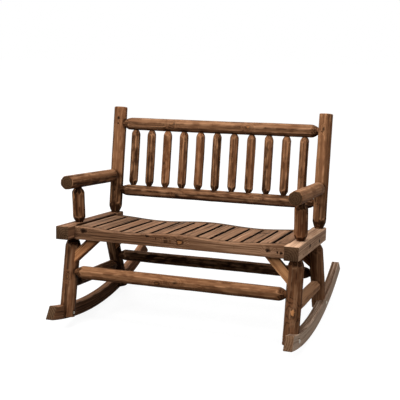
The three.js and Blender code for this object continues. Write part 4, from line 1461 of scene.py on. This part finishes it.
def make_floor():
    """A dark studio floor that the camera sees as white, with the shadow kept on it."""
    corners = [(x * FLOOR_HALF, y * FLOOR_HALF, 0) for x, y in SQUARE]
    floor = new_object("floor", corners, [(0, 1, 2, 3)])
    material, tree, shader = shader_of("studio_floor")
    dark = {"Base Color": FLOOR_COLOUR, "Roughness": 0.9, "Specular IOR Level": 0.0}
    fill_sockets(tree, shader, dark)
    distance = length_of(tree, add_node(tree, "ShaderNodeTexCoord")["Object"])
    glow = eased(tree, distance, *FLOOR_FADE, *FLOOR_WHITES)
    white = add_node(tree, "ShaderNodeEmission", {"Strength": glow})[0]
    pale = add_node(tree, "ShaderNodeBsdfDiffuse", {"Color": FLOOR_PALE})[0]
    bright = add_node(tree, "ShaderNodeAddShader", {0: pale, 1: white})[0]
    either = add_node(tree, "ShaderNodeMixShader", {0: to_eye(tree), 1: shader.outputs[0], 2: bright})[0]
    fill_sockets(tree, tree.nodes["Material Output"], {"Surface": either})
    floor.data.materials.append(material)


def make_world():
    world = bpy.data.worlds.new("studio")
    bpy.context.scene.world = world
    world.use_nodes = True
    tree = world.node_tree
    strength = calculate(tree, "MULTIPLY_ADD", to_eye(tree), 1 - WORLD_LIGHT, WORLD_LIGHT)
    fill_sockets(tree, tree.nodes["Background"], {"Color": (1, 1, 1, 1), "Strength": strength})


def make_lamps():
    for name, (place, size, power) in LAMPS.items():
        light = bpy.data.lights.new(name, "AREA")
        light.shape = "RECTANGLE"
        light.size, light.size_y = size
        light.energy = power
        lamp = placed(name, light)
        lamp.location = place
        lamp.rotation_euler = (LAMP_TARGET - Vector(place)).to_track_quat("-Z", "Y").to_euler()


def make_camera():
    camera = bpy.data.cameras.new("camera")
    camera.sensor_width = SENSOR_MM
    camera.lens = SENSOR_MM * FOCAL_LENGTH_PX / FRAME_PX
    camera.shift_x = (FRAME_PX / 2 - OPTICAL_CENTRE_X_PX) / FRAME_PX
    seat = placed("camera", camera)
    turn = Matrix.Rotation(math.radians(CAMERA_AZIMUTH), 3, "Z")
    tip = Matrix.Rotation(math.radians(90 - CAMERA_DROP), 3, "X")
    roll = Matrix.Rotation(math.radians(CAMERA_ROLL), 3, "Z")
    seat.rotation_euler = (turn @ tip @ roll).to_euler()
    seat.location = Vector(CAMERA_FROM_CONTACT) + Vector((0, roll_centre.y, 0))
    bpy.context.scene.camera = seat
    bpy.context.scene.view_settings.view_transform = "Standard"


def make_bench():
    plan_logs()
    plan_pins()
    for name in logs:
        hewn_log(name)
    for side, sign in SIDES:
        make_beam(side, sign)
        make_rocker(side)
        for place in PLACES:
            make_brace(place, side, sign)
    for place in PLACES:
        make_rail(place)
    tree = board_tree()
    for name in sorted(name for name in nodes if name.startswith("seat_slat")):
        make_slat(name, tree)
    make_fasteners()


materials = make_materials()
make_bench()
make_floor()
make_world()
make_lamps()
make_camera()
